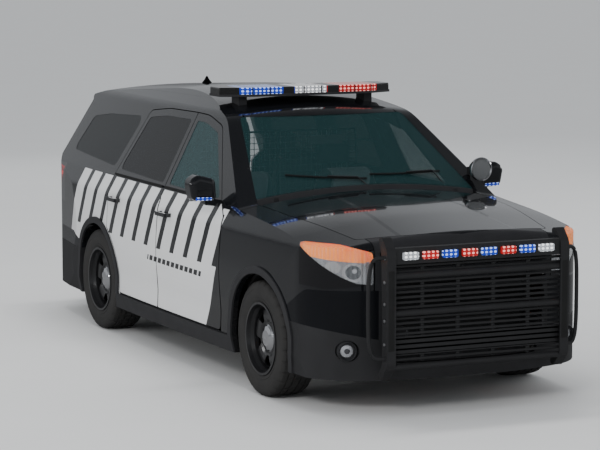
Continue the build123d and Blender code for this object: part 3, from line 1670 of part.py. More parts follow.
for place_name, at_rear, on_right in (
    ("front_left", False, False),
    ("front_right", False, True),
    ("rear_left", True, False),
    ("rear_right", True, True),
):
    place(wheel_copy(tyre, at_rear, on_right), f"tyre_{place_name}")
    with BuildPart() as wheel:
        add(wheel_copy(rim.part, at_rear, on_right))
        add(wheel_copy(hub_cap.part, at_rear, on_right))
    place(wheel.part, f"rim_{place_name}")
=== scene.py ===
"""Looks of the police sport utility vehicle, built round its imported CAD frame. Metres, +X to the nose."""

import math

import bmesh
import bpy
from mathutils import Matrix, Vector
from mathutils.bvhtree import BVHTree


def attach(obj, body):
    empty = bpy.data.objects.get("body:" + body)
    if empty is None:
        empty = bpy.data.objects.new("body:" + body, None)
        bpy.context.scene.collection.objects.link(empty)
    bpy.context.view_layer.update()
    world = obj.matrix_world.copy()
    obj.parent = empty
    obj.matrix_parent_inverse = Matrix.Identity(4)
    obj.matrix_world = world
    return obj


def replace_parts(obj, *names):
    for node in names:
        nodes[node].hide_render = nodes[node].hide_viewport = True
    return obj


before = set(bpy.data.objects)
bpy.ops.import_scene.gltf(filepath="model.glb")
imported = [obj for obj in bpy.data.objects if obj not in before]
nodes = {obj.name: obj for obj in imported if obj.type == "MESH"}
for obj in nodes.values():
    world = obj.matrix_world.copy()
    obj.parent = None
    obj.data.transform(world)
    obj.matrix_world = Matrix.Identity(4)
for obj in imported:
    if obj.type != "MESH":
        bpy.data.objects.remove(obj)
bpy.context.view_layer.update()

# Places that part.py also has
FRONT_AXLE, REAR_AXLE, AXLE_Z = 1.497, -1.363, 0.363
HALF_TRACK = 0.845
PUSH_X = 2.559
CORNERS = {
    "front_left": (FRONT_AXLE, 1),
    "front_right": (FRONT_AXLE, -1),
    "rear_left": (REAR_AXLE, 1),
    "rear_right": (REAR_AXLE, -1),
}
SIDES = ((1, "left"), (-1, "right"))

# Slots that many pieces share
CABIN, TRIM, GUARD = "cabin_black", "trim_black", "guard_black"

scene = bpy.context.scene


def new_object(name, data):
    """An object with this data, in the scene."""
    made = bpy.data.objects.new(name, data)
    scene.collection.objects.link(made)
    return made


# Materials


def operator(operation, swapped=False):
    """A method that joins a value and another one, or a number, by a math node."""

    def method(self, other=0):
        pair = (other, self) if swapped else (self, other)
        return self.tree.math(operation, *pair)

    return method


class Value:
    """A number that varies over a surface. A mask is one that is 0 or 1: & is both, | is either."""

    def __init__(self, tree, socket):
        self.tree, self.socket = tree, socket

    __add__ = operator("ADD")
    __sub__ = operator("SUBTRACT")
    __rsub__ = operator("SUBTRACT", True)
    __mul__ = operator("MULTIPLY")
    __truediv__ = operator("DIVIDE")
    __pow__ = operator("POWER")
    __gt__ = operator("GREATER_THAN")
    __lt__ = operator("GREATER_THAN", True)
    __and__ = operator("MULTIPLY")
    __or__ = operator("MAXIMUM")
    __abs__ = operator("ABSOLUTE")
    fract = operator("FRACT")
    sign = operator("SIGN")
    sine = operator("SINE")

    def inside(self, low, high):
        return (self > low) & (self < high)


class Tree:
    """A node tree with short ways to write what goes into it."""

    def __init__(self, tree):
        self.tree = tree

    def node(self, kind, **values):
        """A new shader node of a kind."""
        made = self.tree.nodes.new(kind)
        for key, value in values.items():
            setattr(made, key, value)
        return made

    def read(self, kind, output):
        """One output of a new node."""
        return Value(self, self.node(kind).outputs[output])

    def feed(self, target, value):
        """Link a value to an input, or write a number or a colour there."""
        if isinstance(value, Value):
            self.tree.links.new(value.socket, target)
        else:
            target.default_value = value

    def split(self, socket):
        """The x, y and z of a vector."""
        made = self.node("ShaderNodeSeparateXYZ")
        self.tree.links.new(socket, made.inputs[0])
        return [Value(self, output) for output in made.outputs]

    def math(self, operation, a, b=0, clamp=False):
        made = self.node("ShaderNodeMath", operation=operation, use_clamp=clamp)
        self.feed(made.inputs[0], a)
        self.feed(made.inputs[1], b)
        return Value(self, made.outputs[0])

    def mix(self, mask, off, on):
        """One of two colours by a mask."""
        made = self.node("ShaderNodeMix", data_type="RGBA")
        self.feed(made.inputs[0], mask)
        for target, color in ((made.inputs[6], off), (made.inputs[7], on)):
            self.feed(target, color if isinstance(color, Value) else (*color, 1.0))
        return Value(self, made.outputs[2])

    def layers(self, color, *tints):
        """A colour with others laid over it in turn, each by its mask."""
        for mask, tint in tints:
            color = self.mix(mask, color, tint)
        return color

    def blend(self, mask, off, on):
        """One of two numbers by a mask."""
        made = self.node("ShaderNodeMix", data_type="FLOAT")
        self.feed(made.inputs[0], mask)
        self.feed(made.inputs[2], off)
        self.feed(made.inputs[3], on)
        return Value(self, made.outputs[0])

    def square_distance(self, a, a0, b, b0):
        return (a - a0) ** 2.0 + (b - b0) ** 2.0

    def distance(self, a, a0, b, b0):
        return self.math("SQRT", self.square_distance(a, a0, b, b0))

    def near(self, a, a0, b, b0, radius):
        """1 within radius of the place a0, b0."""
        return self.square_distance(a, a0, b, b0) < radius * radius


class Look(Tree):
    """A Principled material whose place and facing are read in the row frame."""

    def __init__(self, name, color=(0.5, 0.5, 0.5), rough=0.5, **sockets):
        self.mat = bpy.data.materials.new(name)
        self.mat.use_nodes = True
        super().__init__(self.mat.node_tree)
        self.bsdf = self.tree.nodes["Principled BSDF"]
        self.color((*color, 1.0))
        self.set("Roughness", rough)
        for key, value in sockets.items():
            self.set(key.replace("_", " "), value)
        coords = self.node("ShaderNodeTexCoord").outputs
        self.point = coords["Object"]
        self.place = self.split(self.point)
        self.facing = self.split(coords["Normal"])

    def set(self, socket, value):
        self.feed(self.bsdf.inputs[socket], value)
        return self

    def color(self, value):
        return self.set("Base Color", value)

    def emit(self, color, strength):
        """Light that the surface gives off."""
        self.set("Emission Color", color)
        return self.set("Emission Strength", strength)

    def noise(self, scale, detail=3.0):
        made = self.node("ShaderNodeTexNoise")
        made.inputs["Scale"].default_value = scale
        made.inputs["Detail"].default_value = detail
        self.tree.links.new(self.point, made.inputs["Vector"])
        return Value(self, made.outputs[0])

    def bump(self, height, distance, strength=0.5):
        made = self.node("ShaderNodeBump")
        made.inputs["Strength"].default_value = strength
        made.inputs["Distance"].default_value = distance
        self.feed(made.inputs["Height"], height)
        self.tree.links.new(made.outputs[0], self.bsdf.inputs["Normal"])
        return self

    def varied(self, color, other, scale=12.0):
        """Two near colours mottled together."""
        return self.color(self.mix(self.noise(scale), color, other))

    def wear(self, low, high, scale=9.0):
        """Roughness that wanders between two values."""
        return self.set("Roughness", self.blend(self.noise(scale, 5.0), low, high))


def plastic(name, color, rough, grain=1400.0, depth=0.00025):
    look = Look(name, color, rough, Specular_IOR_Level=0.3)
    lighter = tuple(min(1.0, c * 1.25 + 0.004) for c in color)
    look.varied(color, lighter, 7.0)
    look.wear(rough - 0.07, rough + 0.08)
    return look.bump(look.noise(grain, 2.0), depth, 0.35)


def metal(name, color, rough, scale=60.0):
    look = Look(name, color, rough, Metallic=1.0)
    return look.wear(max(0.02, rough - 0.06), rough + 0.08, scale)


# The second black is faintly bluish; mottled into the paint in large patches, it is a painted sheen
BLACK, PAINTED_SHEEN_BLACK, UNLIT = (0.005, 0.005, 0.006), (0.008, 0.009, 0.011), (0, 0, 0)
WHITE = (0.8, 0.8, 0.8)
TEAL = (0.02, 0.055, 0.058)
WHEEL_BLACK = (0.013, 0.013, 0.014)
BOWL_GREY = (0.7, 0.7, 0.72)
COVER_GREY = (0.75, 0.78, 0.8)

# The livery: a white field, leaning with height, with bars in its upper part and dashes under them
LEAN, LEAN_FROM = 0.46, 0.4
FIELD_HALF, FIELD_SHIFT, SIDE_SHIFT = 1.42, 0.385, -0.315
FIELD_DEPTH, FIELD_FOOT = (0.84, 1.0085), 0.3
BAR_PITCH, BAR_SHARE = 0.2367, 0.7
BAR_FOOT, BAR_HEAD = 0.735, 1.135
DASH_PITCH, DASH_SHARE = 0.078, 0.72
DASH_HEIGHT, DASH_RUN = (0.64, 0.676), (0.27, 1.21)


def livery_mask(look):
    """White field with slanted bars above it, on the outer faces of both sides."""
    x, y, z = look.place
    side = y.sign()
    run = x + side * LEAN * (z - LEAN_FROM) + (side * SIDE_SHIFT + FIELD_SHIFT)
    outer = side * look.facing[1] > 0.25
    field = run.inside(-FIELD_HALF, FIELD_HALF) & (z < BAR_HEAD) & outer
    field = field & abs(y).inside(*FIELD_DEPTH) & (z > FIELD_FOOT)
    gap = (((run + FIELD_HALF) / BAR_PITCH).fract() > BAR_SHARE) & (z > BAR_FOOT)
    dashes = z.inside(*DASH_HEIGHT) & run.inside(*DASH_RUN) & ((run / DASH_PITCH).fract() < DASH_SHARE)
    return field & (1.0 - (gap | dashes))


def paint(name, jambs=False):
    """Gloss black with soft patches of painted sheen and the white livery; with jambs, what the shut doors
    cover stays black.
    """
    look = Look(name, BLACK, 0.16, Coat_Weight=1.0, Coat_Roughness=0.03, Specular_IOR_Level=0.12)
    x, y, z = look.place
    white = livery_mask(look)
    if jambs:
        white = white & ((x < -1.06) | look.near(x, REAR_AXLE, z, AXLE_Z, 0.475))
    hidden = (y.sign() * look.facing[1] < -0.3) & (abs(y) > 0.5)
    # Large soft patches of the bluish black: a painted sheen on the gloss black
    painted_sheen = look.mix(look.noise(2.5), BLACK, PAINTED_SHEEN_BLACK)
    dust = (z < 0.55) * (look.noise(30.0, 6.0) * 0.035)
    color = look.layers(painted_sheen, (white, WHITE), (hidden, (0.035, 0.035, 0.037)), (dust, (0.3, 0.27, 0.23)))
    look.color(color)
    look.set("Roughness", look.blend(white, look.blend(hidden, 0.14, 0.55), 0.32))
    crease = (x - 1.1) * 0.085 + 0.315
    rise = look.math("DIVIDE", crease - abs(y), 0.03, True)
    front = look.math("DIVIDE", x - 1.16, 0.05, True)
    dome = rise & front & (z > 0.95)
    return look.bump(dome + look.noise(420.0, 1.0) * 0.004, 0.012, 0.55)


def bumper_paint():
    """Gloss black with soft patches of painted sheen above a line that drops to the middle, grained
    grey-black plastic below it.
    """
    look = Look("bumper_two_tone", BLACK, 0.16, Coat_Roughness=0.03, Specular_IOR_Level=0.2)
    x, y, z = look.place
    reach, rear = abs(y), x < 0.0
    line = look.blend(rear, (reach - 0.62) * 0.2 + 0.47, 0.548)
    gloss = (z > line) & ((reach > 0.58) | rear)
    grain = look.mix(look.noise(7.0), (0.02, 0.02, 0.021), (0.03, 0.03, 0.032))
    # The gloss part carries the same painted sheen in large patches
    look.color(look.mix(gloss, grain, look.mix(look.noise(2.5), BLACK, PAINTED_SHEEN_BLACK)))
    look.set("Roughness", look.blend(gloss, 0.55, 0.07))
    return look.bump(gloss * 4.0 + look.noise(1400.0, 2.0), 0.0006, 0.3)


def led_lens(name, color, glow, pitch=0.03):
    """A coloured lens with rows of lit dots; on the roof's light bar it has smoked ends and gaps."""
    look = Look(name, color, 0.08, Coat_Weight=1.0, Coat_Roughness=0.04)
    x, y, z = look.place
    dot = look.near((y / pitch).fract() - 0.5, 0, (z / 0.023).fract() - 0.5, 0, 0.3)
    reach, share = abs(y), ((y + 1.2) / 0.1275).fract()
    smoked = ((share < 0.07) | (reach > 0.515) | reach.inside(0.125, 0.205)) & (z > 1.6)
    tint = look.mix(look.noise(40.0), color, tuple(c * 0.35 for c in color))
    look.color(look.mix(smoked, tint, (0.006, 0.006, 0.006)))
    look.emit(look.layers(color, (dot, glow), (smoked, UNLIT)), look.blend(dot, 0.22, 1.5))
    return look.bump((y / 0.006).fract(), 0.0006, 0.3)


def window(name, color, alpha):
    look = Look(name, color, 0.02, IOR=1.5, Alpha=alpha)
    return look.set("Roughness", look.blend(look.noise(3.0), 0.012, 0.04))


def fixed_window():
    """Teal windshield and dark quarter windows, which are one node."""
    look = window("window_fixed", TEAL, 0.4)
    rear = look.place[0] < -0.9
    look.color(look.mix(rear, TEAL, (0.004, 0.006, 0.007)))
    return look.set("Alpha", look.blend(rear, 0.4, 0.88))


def lamp_surround(look):
    """1 where the headlamp's nodes carry the body's black: below a line that sweeps up and back."""
    x, y, z = look.place
    back = look.math("MAXIMUM", (2.33 - x) * 0.62, 0)
    return z < back + (abs(y) - 0.62) * 0.1 + 0.792


def headlamp_body():
    """Chrome bowl with a projector that has a painted highlight on its lens, an amber strip along the top
    and a black surround that sweeps up.
    """
    look = Look("headlamp_bowl", (0.55, 0.55, 0.57), 0.16, Metallic=0.85)
    x, y, z = look.place
    reach = abs(y)
    amber = z - (2.3 - x) * 0.12 > 0.93
    low = lamp_surround(look)
    ring = look.near(reach, 0.722, z, 0.868, 0.058)
    lens = look.near(reach, 0.722, z, 0.868, 0.042)
    # A small near-white spot off the lens's centre: a painted highlight
    painted_glint = look.near(reach, 0.716, z, 0.876, 0.014)
    second = look.near(reach, 0.822, z, 0.896, 0.036)
    color = look.layers(
        (0.62, 0.63, 0.66),
        (amber, (0.95, 0.26, 0.01)),
        (ring, (0.85, 0.85, 0.87)),
        (lens, (0.05, 0.06, 0.08)),
        (painted_glint, (0.9, 0.92, 0.95)),
        (second, (0.92, 0.92, 0.92)),
        (low, BLACK),
    )
    look.color(color)
    look.set("Metallic", look.blend(amber | low, 0.9, 0))
    look.set("Roughness", look.blend(low, look.blend(lens, 0.22, 0.05), 0.1))
    look.emit(look.mix(amber, UNLIT, (0.95, 0.22, 0.01)), 0.3)
    ribbed = (reach * 300.0).sine() * (1.0 - (ring | low | second))
    return look.bump(ribbed + ring * 3.0, 0.002, 0.5)


def head_lens():
    look = Look("headlamp_cover", COVER_GREY, 0.02, IOR=1.5)
    low = lamp_surround(look)
    look.color(look.mix(low, COVER_GREY, BLACK))
    return look.set("Alpha", look.blend(low, 0.1, 1.0))


def fog_lens():
    """A clear round glass over a bright bowl with a bulb shield in its middle."""
    look = Look("fog_lamp_glass", (0.62, 0.63, 0.65), 0.1, Metallic=0.7, Coat_Weight=1.0)
    look.set("Coat Roughness", 0.03)
    x, y, z = look.place
    ring, shield = [look.near(abs(y), 0.757, z, 0.395, radius) for radius in (0.036, 0.017)]
    tints = (ring, (0.66, 0.67, 0.7)), (shield, (0.1, 0.1, 0.11))
    look.color(look.layers((0.16, 0.16, 0.17), *tints))
    return look.bump((y * 700.0).sine(), 0.0008, 0.4)


def tail_surround(look):
    """1 where the tail lamp's nodes carry the body's black: ahead of a line that leans back downwards."""
    x, y, z = look.place
    return (x > (z - 1.085) * 0.86 - 2.262) | (z > 1.098 - (x + 2.229) * 0.1)


def tail_bowl():
    look = Look("tail_lamp_bowl", BOWL_GREY, 0.12, Metallic=0.9)
    ahead = tail_surround(look)
    look.color(look.mix(ahead, BOWL_GREY, BLACK))
    return look.set("Metallic", look.blend(ahead, 0.9, 0))


def tail_lens():
    """Red lens with a clear reversing lamp, fine ribs and a black surround that makes it a wedge."""
    look = Look("tail_lens_red", (0.42, 0.008, 0.01), 0.08, Coat_Weight=1.0, Alpha=0.94)
    x, y, z = look.place
    clear = abs(y).inside(0.752, 0.815) & z.inside(0.875, 0.985)
    tube = z.inside(1.035, 1.062)
    ahead = tail_surround(look)
    tints = (tube, (0.75, 0.03, 0.02)), (clear, (0.8, 0.78, 0.76)), (ahead, BLACK)
    look.color(look.layers((0.4, 0.006, 0.01), *tints))
    look.set("Alpha", look.blend(ahead, 0.94, 1.0))
    look.emit(look.mix(ahead, (0.9, 0.02, 0.01), UNLIT), look.blend(tube, 0.02, 0.35))
    return look.bump((z * 900.0).sine(), 0.0008, 0.4)


def wheel_face():
    """Gloss black steel with a chrome cap over the nuts and a grey disc behind the spokes."""
    look = Look("wheel_black_chrome", WHEEL_BLACK, 0.28, Coat_Weight=0.5)
    x, y, z = look.place
    radius = look.distance(x, look.blend(x > 0, REAR_AXLE, FRONT_AXLE), z, AXLE_Z)
    reach = abs(y)
    cap = (radius < 0.0855) & (reach > HALF_TRACK + 0.056)
    disc = radius.inside(0.072, 0.166) & reach.inside(0.8475, 0.8725)
    look.color(look.layers(WHEEL_BLACK, (cap, (0.78, 0.78, 0.8)), (disc, (0.3, 0.29, 0.28))))
    look.set("Metallic", cap | disc)
    look.set("Roughness", look.blend(cap, look.blend(disc, 0.3, 0.38), 0.07))
    return look.bump((radius * 5000.0).sine() * disc, 0.0003, 0.3)


def rubber():
    look = Look("tyre_rubber", (0.02, 0.02, 0.02), 0.8)
    look.varied((0.018, 0.018, 0.018), (0.034, 0.032, 0.03), 14.0)
    look.wear(0.66, 0.88)
    return look.bump(look.noise(700.0, 3.0), 0.0004, 0.4)


def cloth(name, color, other, pitch=0.0045):
    """Woven cloth: two crossed sets of threads."""
    look = Look(name, color, 0.92, Sheen_Weight=0.35, Sheen_Roughness=0.5)
    x, y, z = look.place
    turn = 2 * math.pi / pitch
    weave = (y * turn).sine() * ((x + z) * turn).sine()
    look.color(look.mix(weave * 0.3 + look.noise(260.0), color, other))
    return look.bump(weave, 0.0007, 0.6)


def screen():
    """A lit tablet screen: rows of plain tiles on blue."""
    look = Look("screen_lit", (0.01, 0.02, 0.05), 0.12, Coat_Weight=0.6)
    x, y, z = look.place
    tile = ((y + 0.215) / 0.046).fract().inside(0.18, 0.82) & (z / 0.038).fract().inside(0.22, 0.8)
    shade = tile * (look.noise(38.0, 0) + 0.35)
    return look.emit(look.mix(shade, (0.02, 0.07, 0.2), (0.45, 0.72, 1.0)), 1.1)


DIAL_Z = 1.02


def dial(look, centre):
    """The ticks and the ring of one dial."""
    x, y, z = look.place
    radius = look.distance(y, centre, z, DIAL_Z)
    turn = (look.math("ARCTAN2", y - centre, z - DIAL_Z) * (20.0 / math.pi)).fract()
    return (radius.inside(0.03, 0.038) & (turn < 0.3)) | radius.inside(0.04, 0.042)


def cluster():
    """Two dials with ticks and a lit blue panel between them."""
    look = Look("dial_panel", (0.008, 0.008, 0.01), 0.15, Coat_Weight=0.5)
    x, y, z = look.place
    lit = dial(look, 0.3) | dial(look, 0.456)
    middle = y.inside(0.352, 0.404) & z.inside(0.99, 1.045)
    tints = (lit, (0.55, 0.75, 1.0)), (middle, (0.03, 0.18, 0.75))
    return look.emit(look.layers(UNLIT, *tints), 1.0)


KEY_PITCH = 0.019
KEY_BLACK = (0.02, 0.02, 0.022)


def keyboard():
    """Black keys with a grey mark on each."""
    look = Look("key_black", KEY_BLACK, 0.5)
    x, y, z = look.place
    mark = (y / KEY_PITCH).fract().inside(0.4, 0.6) & (x / KEY_PITCH).fract().inside(0.4, 0.6)
    look.color(look.mix(mark, KEY_BLACK, (0.5, 0.5, 0.5)))
    return look.bump(look.noise(900.0), 0.0002, 0.3)


LOOKS = {
    "body": paint("paint_livery"),
    "body_side": paint("paint_livery_sides", True),
    "chassis": plastic("chassis_coating", (0.022, 0.022, 0.022), 0.62),
    "trim": plastic("trim_grained", (0.022, 0.022, 0.024), 0.52),
    "grille": plastic("grille_black", (0.02, 0.02, 0.022), 0.35),
    "glass": window("window_teal", (0.022, 0.06, 0.064), 0.64),
    "fixed_glass": fixed_window(),
    "dark_glass": window("window_dark", (0.004, 0.005, 0.006), 0.88),
    "lens": window("lens_clear", COVER_GREY, 0.16),
    "head_lens": head_lens(),
    "bumper": bumper_paint(),
    "head": headlamp_body(),
    "fog": fog_lens(),
    "tail": tail_lens(),
    "tail_bowl": tail_bowl(),
    "chrome": metal("chrome_bright", (0.78, 0.78, 0.8), 0.07),
    "silver": metal("silver_brushed", (0.55, 0.55, 0.56), 0.28, 160.0),
    "red": led_lens("lens_warning_red", (0.62, 0.01, 0.012), (1.0, 0.45, 0.4)),
    "blue": led_lens("lens_warning_blue", (0.012, 0.05, 0.62), (0.45, 0.62, 1.0)),
    "clear": led_lens("lens_warning_clear", (0.62, 0.64, 0.68), (1.0, 1.0, 1.0)),
    "wheel": wheel_face(),
    "tyre": rubber(),
    "guard": plastic("guard_powder_coat", (0.016, 0.016, 0.017), 0.48, 2600.0, 0.0004),
    "iron": metal("iron_cast", (0.1, 0.095, 0.09), 0.55, 30.0),
    "engine": metal("engine_cast", (0.26, 0.26, 0.27), 0.48, 25.0),
    "steel": metal("exhaust_steel", (0.42, 0.4, 0.38), 0.3, 40.0),
    "cabin": plastic("cabin_grained", (0.028, 0.028, 0.03), 0.6, 900.0, 0.0005),
    "cabin_grey": plastic("cabin_grey", (0.1, 0.1, 0.105), 0.6, 900.0, 0.0005),
    "vinyl": plastic("seat_bolster", (0.022, 0.022, 0.024), 0.55, 1200.0, 0.0006),
    "cloth": cloth("seat_weave", (0.06, 0.06, 0.064), (0.17, 0.17, 0.175)),
    "rubber": plastic("seal_rubber", (0.01, 0.01, 0.01), 0.7),
    "screen": screen(),
    "dials": cluster(),
    "keys": keyboard(),
    "reflector": led_lens("reflector_red", (0.45, 0.01, 0.01), (0.6, 0.02, 0.02), 0.008),
    "painted": plastic("silver_paint", (0.46, 0.46, 0.47), 0.34),
    "mirror": metal("mirror_silvered", (0.8, 0.82, 0.84), 0.03, 4.0),
    "gloss": metal("gloss_black", (0.03, 0.03, 0.032), 0.16, 12.0),
    "plate": plastic("plate_white", (0.78, 0.78, 0.76), 0.42, 300.0, 0.0001),
}

# Which CAD nodes wear which look
DRESS = {
    "chassis": "underbody",
    "body_side": "body_side_left body_side_right",
    "body": "roof_panel front_wings hood liftgate "
    "door_front_left door_front_right door_rear_left door_rear_right",
    "trim": "cowl arch_mouldings light_bar",
    "bumper": "front_bumper rear_bumper",
    "grille": "grille",
    "head": "headlamps",
    "head_lens": "headlamp_lenses",
    "tail_bowl": "tail_lamps",
    "tail": "tail_lamp_lenses",
    "fixed_glass": "fixed_glass",
    "glass": "door_front_left_glass door_front_right_glass",
    "dark_glass": "liftgate_glass door_rear_left_glass door_rear_right_glass",
    "guard": "push_bumper spotlight",
    "red": "warning_lamps_red",
    "blue": "warning_lamps_blue",
    "clear": "warning_lamps_clear",
    "engine": "engine",
    "iron": "subframes knuckle_left knuckle_right",
    "steel": "exhaust",
    "cabin": "dashboard laptop steering_wheel",
    "cloth": "front_seats",
    "vinyl": "rear_seat",
    "tyre": " ".join(f"tyre_{corner}" for corner in CORNERS),
    "wheel": " ".join(f"rim_{corner}" for corner in CORNERS),
}
for look, names in DRESS.items():
    for name in names.split():
        target = nodes[name].data.materials
        target.clear()
        target.append(LOOKS[look].mat)

# The camera, at the angle of the photograph's third picture: from ahead of the right front corner
AZIMUTH, ELEVATION, DISTANCE = math.radians(65.0), math.radians(7.0), 17.0
aim = Vector((0.02, 0, 0.86))
level = math.cos(ELEVATION)
away = Vector((level * math.sin(AZIMUTH), -level * math.cos(AZIMUTH), math.sin(ELEVATION)))
camera_data = bpy.data.cameras.new("camera")
camera_data.lens = 148.0
camera_data.sensor_width = 36.0
camera_data.clip_end = 1200.0
camera = new_object("camera", camera_data)
camera.location = aim + away * DISTANCE
camera.rotation_euler = (-away).to_track_quat("-Z", "Y").to_euler()
scene.camera = camera

# Sky: even light, and for what the paint mirrors a soft bright band above the horizon, darker overhead
SKY_LIGHT, SKY_SEEN = 0.78, 0.74
SKY_STOPS = ((0, 0.26), (0.1, 0.4), (0.34, 0.46), (0.58, 0.18), (0.85, 0.08))
world = bpy.data.worlds.new("studio")
scene.world = world
world.use_nodes = True
sky = Tree(world.node_tree)
background = sky.tree.nodes["Background"].inputs
background["Color"].default_value = (0.9, 0.93, 0.97, 1.0)
band = sky.node("ShaderNodeValToRGB")
band.color_ramp.interpolation = "EASE"
band.color_ramp.elements[0].position = SKY_STOPS[0][0]
band.color_ramp.elements[1].position = SKY_STOPS[-1][0]
for place, _ in SKY_STOPS[1:-1]:
    band.color_ramp.elements.new(place)
for element, (_, value) in zip(band.color_ramp.elements, SKY_STOPS):
    element.color = (value, value, value, 1.0)
towards = sky.node("ShaderNodeTexCoord").outputs["Generated"]
sky.feed(band.inputs[0], sky.split(towards)[2])
glossy, eye, through = [
    sky.read("ShaderNodeLightPath", f"Is {kind} Ray") for kind in ("Glossy", "Camera", "Transmission")
]
mirrored = sky.blend(glossy, SKY_LIGHT, Value(sky, band.outputs[0]))
sky.feed(background["Strength"], sky.blend(eye | through, mirrored, SKY_SEEN))


def lamp(name, place, size, power, target=(0, 0, 0.8), mirrored=True):
    """An area lamp; one that isn't mirrored lights the car without a patch in the paint."""
    data = bpy.data.lights.new(name, "AREA")
    data.shape = "RECTANGLE"
    data.size, data.size_y = size
    data.energy = power
    made = new_object(name, data)
    made.location = place
    made.rotation_euler = (Vector(target) - Vector(place)).to_track_quat("-Z", "Y").to_euler()
    made.visible_glossy = mirrored


lamp("key", (11.0, -9.0, 7.5), (4.0, 2.0), 520.0, mirrored=False)
lamp("side", (-2.0, -11.0, 3.0), (9.0, 1.0), 190.0)
lamp("fill", (-2.0, 11.0, 3.2), (9.0, 1.0), 190.0)
lamp("back", (-14.0, 1.0, 4.2), (16.0, 0.7), 110.0, mirrored=False)
lamp("spark", (8.0, -7.5, 6.0), (0.5, 0.5), 45.0)
lamp("top", (-0.6, 0, 9.0), (6.0, 1.2), 280.0, (0, 0, 0), mirrored=False)

# The floor is pale to the eye and darker in the paint's reflections, as a road is
FLOOR_HALF = 500.0
floor_look = Look("floor_pale", (0.8, 0.8, 0.79), 0.85, Specular_IOR_Level=0.1)
tone = floor_look.mix(floor_look.noise(1.5), (0.785, 0.785, 0.775), (0.815, 0.815, 0.805))
glossy = floor_look.read("ShaderNodeLightPath", "Is Glossy Ray")
floor_look.color(floor_look.mix(glossy, tone, (0.22, 0.22, 0.22)))
floor_data = bpy.data.meshes.new("floor")
floor_corners = [(x * FLOOR_HALF, y * FLOOR_HALF, 0) for x, y in ((-1, -1), (1, -1), (1, 1), (-1, 1))]
floor_data.from_pydata(floor_corners, [], [(0, 1, 2, 3)])
floor_data.materials.append(floor_look.mat)
floor = new_object("floor", floor_data)


# Mesh helpers


def add_mesh(name, verts, faces, look, slot, body="chassis", sharp=35.0):
    """A mesh that rides on a body, or on none yet."""
    data = bpy.data.meshes.new(name)
    data.from_pydata([tuple(v) for v in verts], [], faces)
    data.validate()
    made = new_object(name, data)
    own = bmesh.new()
    own.from_mesh(data)
    bmesh.ops.recalc_face_normals(own, faces=own.faces)
    own.to_mesh(data)
    own.free()
    data.polygons.foreach_set("use_smooth", [True] * len(data.polygons))
    data.set_sharp_from_angle(angle=math.radians(sharp))
    data.materials.append(LOOKS[look].mat)
    if body:
        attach(made, body)
    return made


def ring_faces(rings, count, closed_rings=False, caps=True):
    """Quads between rings of count points."""
    faces = []
    for i in range(rings if closed_rings else rings - 1):
        a, b = i * count, ((i + 1) % rings) * count
        for j in range(count):
            k = (j + 1) % count
            faces.append((a + j, a + k, b + k, b + j))
    if caps and not closed_rings:
        faces.append(tuple(range(count)))
        faces.append(tuple(range((rings - 1) * count, rings * count)))
    return faces


def rod(name, points, radius, look, slot, sides=8, flat=1.0, body="chassis"):
    """A bar of round or flattened section along points."""
    points = [Vector(p) for p in points]
    verts = []
    for i, point in enumerate(points):
        ahead = points[min(i + 1, len(points) - 1)] - points[max(i - 1, 0)]
        ahead.normalize()
        up = Vector((0, 0, 1)) if abs(ahead.z) < 0.9 else Vector((1, 0, 0))
        across = ahead.cross(up).normalized()
        up = across.cross(ahead)
        for j in range(sides):
            turn = 2 * math.pi * (j + 0.5) / sides
            verts.append(point + across * radius * math.cos(turn) + up * radius * flat * math.sin(turn))
    return add_mesh(name, verts, ring_faces(len(points), sides), look, slot, body)


def block(low, high, bevel=0.004, segments=2):
    """Vertices and faces of a block with rounded edges between two corners."""
    own = bmesh.new()
    bmesh.ops.create_cube(own, size=1.0)
    for vert in own.verts:
        for i in range(3):
            vert.co[i] = (min if vert.co[i] < 0 else max)(low[i], high[i])
    edges = own.edges[:]
    bmesh.ops.bevel(own, geom=edges, offset=bevel, segments=segments, profile=0.6, affect="EDGES")
    own.verts.index_update()
    verts = [v.co.copy() for v in own.verts]
    faces = [tuple(v.index for v in f.verts) for f in own.faces]
    own.free()
    return verts, faces


def box(name, low, high, look, slot, bevel=0.004, segments=2, body="chassis", place=None):
    verts, faces = block(low, high, bevel, segments)
    if place is not None:
        verts = [place @ v for v in verts]
    return add_mesh(name, verts, faces, look, slot, body)


def joined(name, parts, look, slot, body="chassis"):
    """One piece from several (vertices, faces) lists."""
    verts, faces = [], []
    for own_verts, own_faces in parts:
        start = len(verts)
        verts += list(own_verts)
        faces += [tuple(start + i for i in face) for face in own_faces]
    return add_mesh(name, verts, faces, look, slot, body)


def lathe(centre, axis, profile, count=48):
    """Vertices and faces of (along, radius) rows turned about an axis through centre."""
    axis = Vector(axis).normalized()
    across = axis.orthogonal().normalized()
    other = axis.cross(across)
    verts = []
    for along, radius in profile:
        for j in range(count):
            turn = 2 * math.pi * j / count
            spoke = across * math.cos(turn) + other * math.sin(turn)
            verts.append(Vector(centre) + axis * along + spoke * radius)
    return verts, ring_faces(len(profile), count)


def turned(name, centre, axis, profile, look, slot, count=48, body="chassis"):
    """One turned piece."""
    return joined(name, [lathe(centre, axis, profile, count)], look, slot, body)


trees = {}


def touch(names, origin, direction):
    """Where a ray first meets the named CAD nodes, and the face's normal there."""
    best = None
    for name in names:
        if name not in trees:
            data = nodes[name].data
            corners = [v.co for v in data.vertices]
            trees[name] = BVHTree.FromPolygons(corners, [p.vertices for p in data.polygons])
        hit = trees[name].ray_cast(Vector(origin), Vector(direction))
        if hit[0] is not None and (best is None or hit[3] < best[2]):
            best = hit[0], hit[1], hit[3]
    return best


def from_above(x, y, *names):
    return touch(names, (x, y, 3.0), (0, 0, -1))


def from_behind(y, z, *names):
    return touch(names, (-4.0, y, z), (1, 0, 0))


# Tyres with ribs, grooves and blocks
TREAD_SEGMENTS = 300
GROOVE = 0.0075
SHOULDER = 0.345  # radius under which the blocks are shallow
